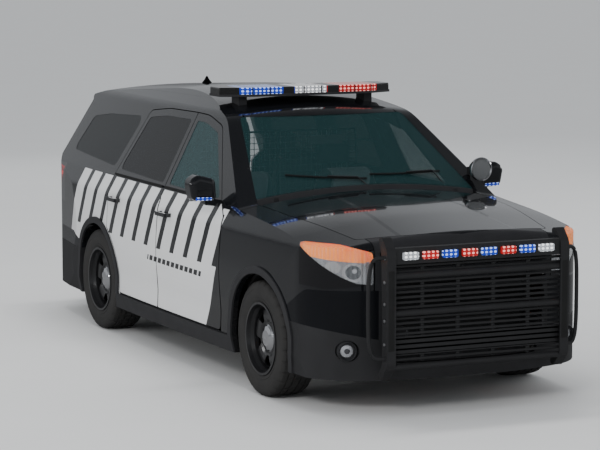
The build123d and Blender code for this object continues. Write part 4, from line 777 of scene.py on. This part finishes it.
# Half of the section, from the rim outwards: (across, radius), and on the tread the phase of its blocks
wall_columns = [(0.1044, 0.2183), (0.1096, 0.23), (0.1168, 0.243), (0.1205, 0.256), (0.1185, 0.258)]
wall_columns += [(0.1215, 0.268), (0.1225, 0.29), (0.1208, 0.3085), (0.1222, 0.3105), (0.1205, 0.328)]
tread_columns = [(w, r, None) for w, r in wall_columns]
tread_columns += [(0.118, 0.338, 0), (0.111, 0.35, 0), (0.1005, 0.358, 0), (0.072, 0.3618, 0)]
tread_columns += [(0.07, 0.3618 - GROOVE, None), (0.062, 0.3618 - GROOVE, None)]
tread_columns += [(0.06, 0.3622, 3), (0.03, 0.363, 3)]
tread_columns += [(0.028, 0.363 - GROOVE, None), (0.02, 0.363 - GROOVE, None), (0.018, 0.363, 6)]


def make_tyre(corner):
    x, side = CORNERS[corner]
    mirrored = [(-w, r, None if k is None else k + 4) for w, r, k in reversed(tread_columns)]
    columns = tread_columns + mirrored
    verts = []
    for i in range(TREAD_SEGMENTS):
        turn = 2 * math.pi * i / TREAD_SEGMENTS
        for w, r, phase in columns:
            cut = 0.0
            if phase is not None:
                beat = (i + phase) % (10 if abs(w) > 0.065 else 12)
                if beat in (0, 1) and not (r < SHOULDER and beat == 1):
                    cut = GROOVE * (0.45 if r < SHOULDER else 0.85)
            along, up = (r - cut) * math.cos(turn), (r - cut) * math.sin(turn)
            verts.append((x + along, side * HALF_TRACK + w, AXLE_Z + up))
    faces = ring_faces(TREAD_SEGMENTS, len(columns), True, False)
    made = add_mesh(f"tyre_{corner}_treaded", verts, faces, "tyre", "tyre", f"wheel_{corner}", 28.0)
    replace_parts(made, f"tyre_{corner}")


for corner in CORNERS:
    make_tyre(corner)

# Push bumper: louvres between the uprights, rubber strips and bolts on them, tube loops round the lamps
LOUVRE_HALF, LOUVRE_FOOT, LOUVRE_PITCH = 0.606, 0.352, 0.031
UPRIGHT_Y = 0.59
bars, strips, bolts = [], [], []
for i in range(19):
    z = LOUVRE_FOOT + LOUVRE_PITCH * i
    bars.append(block((PUSH_X - 0.047, -LOUVRE_HALF, z), (PUSH_X - 0.038, LOUVRE_HALF, z + 0.016), 0.003, 1))
for y in (-0.36, -0.12, 0.12, 0.36):
    bars.append(block((PUSH_X - 0.058, y - 0.012, 0.34), (PUSH_X - 0.046, y + 0.012, 0.935), 0.003, 1))
for side in (-1, 1):
    y = side * UPRIGHT_Y
    strips.append(block((PUSH_X - 0.008, y - 0.021, 0.42), (PUSH_X + 0.0008, y + 0.021, 0.9)))
    for z in (0.46, 0.6, 0.7, 0.83, 0.97):
        head = [(0, 0), (0, 0.011), (0.006, 0.01), (0.008, 0)]
        bolts.append(lathe((PUSH_X - 0.03, side * 0.6195, z), (0, side, 0), head, 6))
joined("push_bumper_louvres", bars, "guard", GUARD)
joined("push_bumper_strips", strips, "rubber", GUARD)
joined("push_bumper_bolts", bolts, "silver", GUARD)
for side, word in SIDES:
    loop = []
    for i in range(25):
        turn = math.pi * (0.5 - i / 24)
        out = max(0, math.cos(turn)) ** 0.4
        up = math.copysign(abs(math.sin(turn)) ** 0.55, math.sin(turn))
        loop.append((PUSH_X - 0.03 - 0.034 * out, side * (0.612 + 0.1 * out), 0.675 + 0.3 * up))
    rod(f"push_bumper_loop_{word}", loop, 0.0125, "guard", GUARD, 14)

# Fog lamps in the bumper
FOG_GLASS = [(0, 0), (0, 0.048), (0.012, 0.046), (0.02, 0.03), (0.023, 0)]
FOG_RIM = [(-0.03, 0.058), (0.03, 0.06), (0.034, 0.054), (0.018, 0.047), (-0.03, 0.046)]
glasses, rims = [], []
for side in (-1, 1):
    face = touch(["front_bumper"], (3.0, side * 0.735, 0.33), (-1, 0, 0))[0].x
    centre = Vector((face - 0.03, side * 0.752, 0.395))
    lean = (1.0, side * 0.28, 0)
    glasses.append(lathe(centre, lean, FOG_GLASS, 36))
    rims.append(lathe(centre, lean, FOG_RIM, 36))
joined("fog_lamps", glasses, "fog", "lens_clear")
joined("fog_lamp_rims", rims, "trim", TRIM)

# Seats. Each pad is blown up by cloth simulation with its seams held, then copied to the other seats.
SEAT_X, SEAT_Y, SEAT_HALF = 0.313, 0.39, 0.25
REAR_SEAT_X, REAR_SEAT_Y, REAR_SEAT_WIDER = -0.487, 0.345, 1.28
PAD_VOXEL = 0.012
PAD_FRAMES = 14
PAD_CLOTH = {
    "quality": 4,
    "mass": 0.4,
    "tension_stiffness": 12.0,
    "compression_stiffness": 12.0,
    "shear_stiffness": 6.0,
    "bending_stiffness": 1.5,
    "use_pressure": True,
    "uniform_pressure_force": 4.0,
    "vertex_group_mass": "held",
}


def apply_modifier(made, name, kind, **values):
    """Add a modifier and apply it."""
    modifier = made.modifiers.new(name, kind)
    for key, value in values.items():
        setattr(modifier, key, value)
    bpy.ops.object.modifier_apply(modifier=name)


def swell(made, held, cap):
    """Blow a pad up under pressure with its held vertices fixed, by cap at most."""
    data = made.data
    start = [v.co.copy() for v in data.vertices]
    group = made.vertex_groups.new(name="held")
    group.add(held, 1.0, "REPLACE")
    cloth_mod = made.modifiers.new("cloth", "CLOTH")
    for key, value in PAD_CLOTH.items():
        setattr(cloth_mod.settings, key, value)
    cloth_mod.settings.effector_weights.gravity = 0.0
    cloth_mod.collision_settings.use_collision = False
    cloth_mod.point_cache.frame_start = 1
    cloth_mod.point_cache.frame_end = PAD_FRAMES
    for frame_now in range(1, PAD_FRAMES + 1):
        scene.frame_set(frame_now)
    graph = bpy.context.evaluated_depsgraph_get()
    blown = [v.co.copy() for v in made.evaluated_get(graph).data.vertices]
    made.modifiers.remove(cloth_mod)
    made.vertex_groups.remove(group)
    scene.frame_set(1)
    for i, vert in enumerate(data.vertices):
        move = blown[i] - start[i]
        if move.length > cap:
            move *= cap / move.length
        vert.co = start[i] + move


def pad(name, shape, seam, look, cap=0.016):
    """A stuffed pad: remeshed, swollen with its seam lines held, and smoothed."""
    made = add_mesh(name, *shape, look, None, None, 60.0)
    bpy.context.view_layer.objects.active = made
    bpy.ops.object.select_all(action="DESELECT")
    made.select_set(True)
    apply_modifier(made, "remesh", "REMESH", mode="VOXEL", voxel_size=PAD_VOXEL)
    held = [i for i, vert in enumerate(made.data.vertices) if seam(vert.co)]
    if held:
        swell(made, held, cap)
    apply_modifier(made, "smooth", "SMOOTH", factor=0.5, iterations=2)
    apply_modifier(made, "finer", "SUBSURF", levels=1, render_levels=1)
    made.data.polygons.foreach_set("use_smooth", [True] * len(made.data.polygons))
    return made


def sections(rows, across):
    """Rings of a pad: rows of (x, low z, high z, half-width) along it, (share, lift) columns across."""
    verts = []
    for x, low, high, half in rows:
        verts += [(x, share * half, high + lift) for share, lift in across]
        verts += [(x, share * half * 0.98, low) for share, lift in reversed(across)]
    return verts, ring_faces(len(rows), 2 * len(across))


# From the edge to the middle: the bolster, the seam at its foot, and the flat insert
bolster = [(1.0, -0.045), (0.96, -0.004), (0.86, 0.014), (0.72, 0.01)]
bolster += [(0.62, -0.004), (0.6, -0.01), (0.3, 0)]
across = [(-share, lift) for share, lift in bolster] + [(0, 0.002)] + bolster[::-1]
back_across = [(share, lift * 1.5) for share, lift in across]
cushion_rows = [
    (0.3, 0.56, 0.612, 0.235),
    (0.285, 0.548, 0.655, 0.246),
    (0.24, 0.545, 0.672, 0.25),
    (0.12, 0.545, 0.676, 0.25),
    (-0.02, 0.545, 0.662, 0.246),
    (-0.12, 0.55, 0.652, 0.236),
    (-0.2, 0.56, 0.64, 0.222),
]
# The back is modelled lying down, with its front up: x runs down the back, z out of its face.
back_rows = [
    (-0.56, -0.03, 0.02, 0.15),
    (-0.545, -0.048, 0.052, 0.185),
    (-0.47, -0.052, 0.064, 0.215),
    (-0.3, -0.055, 0.062, 0.24),
    (-0.13, -0.055, 0.066, 0.248),
    (0.000, -0.055, 0.064, 0.244),
    (0.06, -0.05, 0.04, 0.232),
]
back_lean = math.pi / 2 + math.atan2(0.15, 0.577)
back_turn = Matrix.Translation((-0.175, 0, 0.69)) @ Matrix.Rotation(back_lean, 4, "Y")
head_turn = Matrix.Translation((-0.272, 0, 1.322)) @ Matrix.Rotation(0.1, 4, "Y")


def cushion_seam(co):
    y, top = abs(co.y) / SEAT_HALF, co.z > 0.62
    side, cross = abs(y - 0.615) < 0.03, abs(co.x - 0.055) < 0.007 and y < 0.62
    return (top and (side or cross)) or co.z < 0.556


def back_seam(co):
    y, face = abs(co.y) / SEAT_HALF, co.z > 0.03
    side = abs(y - (0.6 if co.x > -0.35 else 0.54)) < 0.03
    cross = y < 0.6 and (abs(co.x + 0.13) < 0.007 or abs(co.x + 0.33) < 0.007)
    return (face and (side or cross)) or co.z < -0.046


def head_seam(co):
    return abs(co.x + 0.02) < 0.008


def pad_look(name, insert_half):
    """Grey woven insert between black grained bolsters, split by the distance from the seat's middle."""
    look = cloth(name, (0.2, 0.2, 0.205), (0.46, 0.46, 0.465), 0.0068)
    dark = abs(look.place[1]) > insert_half
    weave = Value(look, look.bsdf.inputs["Base Color"].links[0].from_socket)
    grain = look.mix(look.noise(500.0), (0.016, 0.016, 0.018), (0.034, 0.034, 0.037))
    look.color(look.mix(dark, weave, grain))
    return look.set("Roughness", look.blend(dark, 0.93, 0.62))


LOOKS["pad"] = pad_look("seat_pad", 0.155)
LOOKS["pad_back"] = pad_look("seat_back_pad", 0.148)
head_shape = block((-0.045, -0.125, -0.08), (0.04, 0.125, 0.08), 0.036, 3)
cushion = pad("seat_cushion_front_left", sections(cushion_rows, across), cushion_seam, "pad")
seat_back = pad("seat_back_front_left", sections(back_rows, back_across), back_seam, "pad_back")
seat_head = pad("seat_head_front_left", head_shape, head_seam, "vinyl", 0.008)


def seat_from(source, name, place, node):
    """The source pad, or a linked copy of it, put on one seat in place of its CAD form."""
    made = source
    if name != source.name:
        made = new_object(name, source.data)
    made.matrix_world = place
    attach(made, "chassis")
    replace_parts(made, node)


def seat_frame(x, y, half, place):
    """What holds one seat's pads: base, front edge, headrest posts, side skirts and the back's shell."""
    parts = [
        block((x - 0.46, y - half + 0.03, 0.375), (x - 0.05, y + half - 0.03, 0.545), 0.015),
        block((x - 0.07, y - half + 0.01, 0.49), (x - 0.02, y + half - 0.01, 0.555), 0.014),
    ]
    post = [(0, 0), (0, 0.007), (0.09, 0.007), (0.09, 0)]
    for side in (-1, 1):
        skirt = y + side * (half - 0.012)
        parts.append(lathe((x - 0.592, y + side * 0.06, 1.2), (0, 0, 1), post, 12))
        parts.append(block((x - 0.45, skirt - 0.018, 0.5), (x - 0.12, skirt + 0.018, 0.6), 0.012))
    verts, faces = block((-0.53, -half + 0.03, -0.075), (0.02, half - 0.03, -0.045), 0.012)
    return parts + [([place @ v for v in verts], faces)]


frames = {}
for row, node, x, y, wide in (
    ("front", "front_seats", SEAT_X, SEAT_Y, 1.0),
    ("rear", "rear_seat", REAR_SEAT_X, REAR_SEAT_Y, REAR_SEAT_WIDER),
):
    frames[node] = []
    for side, word in SIDES:
        shift = Matrix.Translation((x - SEAT_X, side * y, 0))
        wider = Matrix.Diagonal((1.0, wide, 1.0, 1.0))
        seat_from(cushion, f"seat_cushion_{row}_{word}", shift @ wider, node)
        seat_from(seat_back, f"seat_back_{row}_{word}", shift @ back_turn @ wider, node)
        seat_from(seat_head, f"seat_head_{row}_{word}", shift @ head_turn, node)
        frames[node] += seat_frame(x, side * y, SEAT_HALF * wide, shift @ back_turn)
for node, parts in frames.items():
    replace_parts(joined(f"{node}_frames", parts, "vinyl", CABIN), node)

# Wipers, parked along the foot of the windshield
PIVOT = [(0, 0), (0, 0.018), (0.014, 0.015), (0.018, 0)]
for word, low_y, high_y in (("left", 0.6, 0.06), ("right", 0.02, -0.52)):
    blade, arm = [], []
    for i in range(9):
        y = low_y + (high_y - low_y) * i / 8
        x = 1.000 - 0.1 * (y / 0.66) ** 2 - 0.035 * i / 8
        hit = from_above(x, y, "fixed_glass")
        if hit:
            blade.append(hit[0] + hit[1] * 0.008)
            arm.append(hit[0] + hit[1] * 0.02)
    rod(f"wiper_blade_{word}", blade, 0.006, "rubber", TRIM)
    foot = from_above(1.085, low_y + 0.02, "cowl", "hood")[0] + Vector((0, 0, 0.004))
    bend = foot + Vector((-0.03, -0.01, 0.02))
    rod(f"wiper_arm_{word}", [foot, bend, arm[1], arm[4]], 0.0065, "trim", TRIM, 8, 0.7)
    turned(f"wiper_pivot_{word}", foot - Vector((0, 0, 0.006)), (0, 0, 1), PIVOT, "trim", TRIM, 20)

# Door mirrors: glass and blue lamps in the housings. Belt strips under the windows.
MIRROR_Y, MIRROR_Z = 1.045, 1.19
BELT_Z = 1.15
BELTS = {"front": (0.84, 0.6, 0.35, 0.1, -0.125), "rear": (-0.175, -0.45, -0.75, -1.00, -1.1)}
for side, word in SIDES:
    door, y = f"front_door_{word}", side * MIRROR_Y
    face = touch([f"door_front_{word}"], (0.2, y, MIRROR_Z), (1, 0, 0))[0].x - 0.003
    low = (face - 0.003, y - 0.068, MIRROR_Z - 0.042)
    high = (face + 0.003, y + 0.068, MIRROR_Z + 0.042)
    box(f"mirror_glass_{word}", low, high, "mirror", "window_clear", 0.0028, 2, door)
    front = (3.0, side * (MIRROR_Y + 0.01), MIRROR_Z - 0.016)
    face = touch([f"door_front_{word}"], front, (-1, 0, 0))[0].x
    low = (face - 0.014, side * (MIRROR_Y - 0.045), MIRROR_Z - 0.027)
    high = (face + 0.004, side * (MIRROR_Y + 0.065), MIRROR_Z - 0.005)
    box(f"mirror_lamp_{word}", low, high, "blue", "lens_blue", 0.005, 3, door)
    for place, xs in BELTS.items():
        hits = [touch([f"door_{place}_{word}"], (x, side * 3.0, BELT_Z), (0, -side, 0)) for x in xs]
        line = [hit[0] + Vector((0, side * 0.003, 0)) for hit in hits if hit]
        name, door = f"belt_strip_{place}_{word}", f"{place}_door_{word}"
        rod(name, line, 0.007, "rubber", TRIM, 8, 1.4, door)

# Liftgate: plate, garnish, high-mounted lamp, wiper
GATE = "tailgate"
WIPER_PATH = ((0.06, 1.215), (0.02, 1.245), (-0.12, 1.262), (-0.3, 1.272))
GATE_PIVOT = [(0, 0), (0, 0.026), (0.022, 0.022), (0.03, 0)]
GATE_BOXES = (
    # name, height where the skin is felt, behind and ahead of it, half-width, foot, top, and how it looks
    ("plate_surround", 0.93, -0.007, 0.006, 0.185, 0.838, 1.022, "trim", TRIM, 0.005, 2),
    ("plate_blank", 0.93, -0.011, -0.006, 0.153, 0.852, 1.006, "plate", TRIM, 0.002, 2),
    ("gate_garnish", 1.085, -0.014, 0.004, 0.36, 1.06, 1.108, "gloss", TRIM, 0.01, 3),
    ("high_lamp", 1.662, -0.008, 0.012, 0.19, 1.652, 1.672, "reflector", "lens_red", 0.006, 3),
)
for name, felt, behind, ahead, half, foot, top, *look in GATE_BOXES:
    x = from_behind(0, felt, "liftgate")[0].x
    box(name, (x + behind, -half, foot), (x + ahead, half, top), *look, GATE)
spots = [from_behind(y, z, "liftgate_glass", "liftgate")[0] for y, z in WIPER_PATH]
arm = [spot + Vector((-0.018, 0, 0)) for spot in spots]
rod("gate_wiper", arm, 0.008, "rubber", TRIM, 8, 0.8, GATE)
pivot = spots[0] + Vector((0.004, 0, 0))
turned("gate_wiper_pivot", pivot, (-1, 0, 0), GATE_PIVOT, "trim", TRIM, 24, GATE)

# Rear bumper: reflectors and the bright strip. The reflectors wear the lit red lens, so their glow is a
# painted reflection.
reflectors = []
for y in (-0.68, 0.68):
    x = from_behind(y, 0.4, "rear_bumper")[0].x
    reflectors.append(block((x - 0.006, y - 0.085, 0.383), (x + 0.012, y + 0.085, 0.418), 0.007, 3))
joined("bumper_reflectors", reflectors, "reflector", "lens_red")
hits = [from_behind(-0.62 + 1.24 * i / 12, 0.56, "rear_bumper") for i in range(13)]
points = [hit[0] + Vector((0.0065, 0, 0)) for hit in hits if hit]
rod("bumper_bright_strip", points, 0.009, "silver", TRIM, 14, 0.9)

# Roof antenna
FIN = [(0, 0), (0, 0.04), (0.012, 0.036), (0.03, 0.02), (0.052, 0.008), (0.06, 0)]
top = from_above(-1.62, 0, "roof_panel")[0]
turned("antenna_base", top - Vector((0, 0, 0.006)), (0, 0, 1), FIN, "gloss", TRIM, 36)

# Spotlight: glass and its bright rim
SPOT_GLASS = [(0, 0), (0, 0.069), (0.01, 0.067), (0.016, 0.04), (0.018, 0)]
SPOT_RIM = [(0, 0.0795), (0.014, 0.0795), (0.018, 0.074), (0.01, 0.068), (0, 0.068)]
spot = Vector((0.992, 0.846, 1.304))
turned("spotlight_glass", spot + Vector((0.052, 0, 0)), (1, 0, 0), SPOT_GLASS, "lens", "lens_clear")
turned("spotlight_rim", spot + Vector((0.05, 0, 0)), (1, 0, 0), SPOT_RIM, "chrome", "lamp_body")

# Dashboard: hooded dials, vents, centre stack, silver trims, warning beacon with its display
VENTS = ((0.665, 1.000), (-0.665, 1.000), (0.15, 1.01), (-0.15, 1.01))
VENT_EDGES = ((0, 0.038, 0.072, 0.005), (0.068, 0, 0.005, 0.038))
UNIT_DROP = 0.062  # from one unit of the centre stack to the next
KNOB = [(0, 0), (0, 0.0125), (0.013, 0.011), (0.015, 0)]
hood = [block((0.66, 0.245, 1.085), (0.79, 0.511, 1.104), 0.008, 3)]
for y in (0.24, 0.502):
    hood.append(block((0.668, y, 0.985), (0.77, y + 0.014, 1.095), 0.006))
joined("dial_hood", hood, "cabin", CABIN)
box("dials", (0.7, 0.255, 0.975), (0.708, 0.502, 1.085), "dials", CABIN, 0.003)
frames, slats = [], []
for y, z in VENTS:
    for dy, dz, hy, hz in VENT_EDGES:
        for way in (1, -1):
            at_y, at_z = y + way * dy, z + way * dz
            frames.append(block((0.697, at_y - hy, at_z - hz), (0.724, at_y + hy, at_z + hz), 0.003))
    for i in range(5):
        low, high = z - 0.029 + i * 0.0145, z - 0.026 + i * 0.0145
        slats.append(block((0.704, y - 0.066, low), (0.722, y + 0.066, high), 0.001, 1))
joined("vent_frames", frames, "painted", CABIN)
joined("vent_slats", slats, "cabin", CABIN)
trims = [block((0.62, y, 0.64), (0.652, y + 0.012, 0.93), 0.005) for y in (-0.128, 0.116)]
for low_y, high_y in ((-0.745, -0.235), (0.54, 0.745)):
    trims.append(block((0.709, low_y, 0.938), (0.721, high_y, 0.952), 0.005))
joined("dash_silver_trims", trims, "painted", CABIN)
units, knobs = [], []
for i in range(3):
    drop = i * UNIT_DROP
    units.append(block((0.655, -0.1, 0.85 - drop), (0.69 - i * 0.012, 0.1, 0.902 - drop), 0.004))
    for y in (-0.076, -0.038, 0, 0.038, 0.076):
        knobs.append(lathe((0.658, y, 0.876 - drop), (-1, 0, 0.1), KNOB, 20))
joined("radio_stack", units, "cabin_grey", CABIN)
joined("radio_knobs", knobs, "silver", CABIN)
box("console_armrest", (0.03, -0.1, 0.612), (0.3, 0.1, 0.716), "vinyl", CABIN, 0.02, 4)
beacon = [
    block((0.795, -0.075, 1.104), (0.905, 0.075, 1.122), 0.006),
    block((0.81, -0.06, 1.12), (0.89, 0.06, 1.172), 0.01),
]
joined("dash_beacon", beacon, "cabin", CABIN)
box("dash_display", (0.792, -0.062, 1.106), (0.797, 0.062, 1.12), "reflector", "lens_red", 0.001)
box("dash_beacon_lens", (0.884, -0.054, 1.126), (0.894, 0.054, 1.166), "reflector", "lens_red", 0.003)

# Laptop: lit screen, keys on their deck, post collar
COLLAR = [(0, 0), (0, 0.03), (0.024, 0.06), (0.025, 0)]
lean = Matrix.Translation((0.6255, -0.06, 0.955)) @ Matrix.Rotation(math.atan2(0.054, 0.214), 4, "Y")
low, high = (-0.0015, -0.142, 0.002), (0.0035, 0.142, 0.176)
box("laptop_screen", low, high, "screen", CABIN, 0.002, place=lean)
keys = []
for row in range(6):
    for col in range(14):
        x, y = 0.43 + row * KEY_PITCH, -0.19 + col * KEY_PITCH
        keys.append(block((x, y, 0.93), (x + 0.0155, y + 0.0155, 0.936), 0.002, 1))
joined("laptop_keys", keys, "keys", CABIN)
box("laptop_deck", (0.424, -0.197, 0.9285), (0.55, 0.083, 0.9318), "painted", CABIN, 0.0012)
turned("laptop_collar", (0.524, -0.06, 0.88), (0, 0, 1), COLLAR, "silver", CABIN, 32)

# Rear-view mirror on the windshield
z = from_above(0.52, 0, "fixed_glass")[0].z
stem = [(0.5, 0, z - 0.012), (0.47, 0, z - 0.05), (0.44, 0, z - 0.08)]
rod("cabin_mirror_stem", stem, 0.008, "cabin", CABIN, 10)
box("cabin_mirror", (0.415, -0.125, z - 0.125), (0.442, 0.125, z - 0.06), "cabin", CABIN, 0.012, 3)
low, high = (0.4125, -0.116, z - 0.118), (0.4165, 0.116, z - 0.067)
box("cabin_mirror_glass", low, high, "mirror", "window_clear", 0.0015)

# Steering wheel: padded rim over the CAD ring, hub pad and silver spokes
DRIVER = "wheel_of_the_driver"
RIM_RADIUS, RIM_TUBE, RIM_POINTS, RIM_SEGMENTS = 0.186, 0.0172, 16, 72
HUB = [(0, 0), (0, 0.06), (0.01, 0.062), (0.02, 0.052), (0.026, 0)]
tilt = math.radians(24.0)
axis = Vector((-math.cos(tilt), 0, math.sin(tilt)))
up = Vector((math.sin(tilt), 0, math.cos(tilt)))
left = Vector((0, 1, 0))
centre = Vector((0.564, 0.378, 1.02))
turns = [2 * math.pi * i / RIM_POINTS for i in range(RIM_POINTS)]
ring = [(RIM_TUBE * math.sin(turn), RIM_RADIUS + RIM_TUBE * math.cos(turn)) for turn in turns]
verts = lathe(centre, axis, ring, RIM_SEGMENTS)[0]
faces = ring_faces(RIM_POINTS, RIM_SEGMENTS, True, False)
add_mesh("steering_rim", verts, faces, "vinyl", CABIN, DRIVER, 60.0)
turned("steering_hub", centre + axis * -0.014, axis, HUB, "cabin_grey", CABIN, 48, DRIVER)
spokes = []
for way in (left, -left, -up):
    across_way = axis.cross(way)
    verts, faces = block((0.06, -0.013, -0.008), (0.172, 0.013, 0.001), 0.005)
    spokes.append(([centre + way * v.x + across_way * v.y + axis * (v.z - 0.004) for v in verts], faces))
joined("steering_spokes", spokes, "painted", CABIN, DRIVER)

# Door cards: armrests, cloth inserts and speaker rings on the inner faces
SPEAKER = [(0, 0), (0, 0.085), (0.01, 0.08), (0.006, 0.07), (0.008, 0)]
for side, word in SIDES:
    for place, x0, x1, speaker_x in (("front", 0.02, 0.62, 0.52), ("rear", -0.96, -0.36, -0.86)):
        hit = touch([f"door_{place}_{word}"], (0.5 * (x0 + x1), 0, 0.8), (0, side, 0))
        face, door = abs(hit[0].y), f"{place}_door_{word}"
        foot = side * (face + 0.004)
        armrest = block((x0, side * (face - 0.052), 0.77), (x1, foot, 0.822), 0.018, 3)
        speaker = lathe((speaker_x, foot, 0.56), (0, -side, 0), SPEAKER, 40)
        joined(f"door_card_{place}_{word}", [armrest, speaker], "cabin", CABIN, door)
        low, high = (x0 + 0.02, side * (face - 0.012), 0.85), (x1 - 0.02, foot, 1.01)
        box(f"door_insert_{place}_{word}", low, high, "cloth", "seat_cloth", 0.006, 2, door)

# Splash panel under the front beam
box("splash_panel", (2.188, -0.515, 0.232), (2.198, 0.515, 0.436), "trim", TRIM)

# Partition between the seats: a tube frame held to the centre pillars, a wire screen over a solid panel
SCREEN_X, SCREEN_FOOT, SCREEN_TOP = -0.349, 0.575, 1.48
PILLAR_X = -0.165
outline = [(-0.655, SCREEN_FOOT), (-0.6, SCREEN_TOP), (0.6, SCREEN_TOP), (0.655, SCREEN_FOOT)]
outline.append(outline[0])
rod("partition_frame", [(SCREEN_X, y, z) for y, z in outline], 0.0085, "guard", CABIN, 10)
post = [(SCREEN_X, 0, SCREEN_FOOT), (SCREEN_X, 0, SCREEN_TOP)]
rod("partition_post", post, 0.008, "guard", CABIN, 10)
low, high = (SCREEN_X - 0.003, -0.64, SCREEN_FOOT), (SCREEN_X + 0.003, 0.64, 0.985)
box("partition_panel", low, high, "guard", CABIN, 0.002)
for side, word in SIDES:
    for z, half in ((1.02, 0.628), (1.4, 0.605)):
        wall = touch([f"body_side_{word}"], (PILLAR_X, 0, z), (0, side, 0))[0]
        end = wall + Vector((0, side * 0.004, 0))
        stay = [(SCREEN_X, side * half, z), (SCREEN_X, side * 0.668, z), end]
        rod(f"partition_stay_{word}_{round(z * 100)}", stay, 0.007, "guard", CABIN)
wires = []
for i in range(1, 29):
    y = -0.58 + 0.04 * i
    low, high = (SCREEN_X - 0.002, y - 0.0018, 0.98), (SCREEN_X + 0.002, y + 0.0018, SCREEN_TOP)
    wires.append(block(low, high, 0.0008, 1))
for i in range(1, 12):
    z = 0.99 + 0.041 * i
    low, high = (SCREEN_X - 0.003, -0.61, z - 0.0018), (SCREEN_X + 0.001, 0.61, z + 0.0018)
    wires.append(block(low, high, 0.0008, 1))
joined("partition_wires", wires, "silver", CABIN)
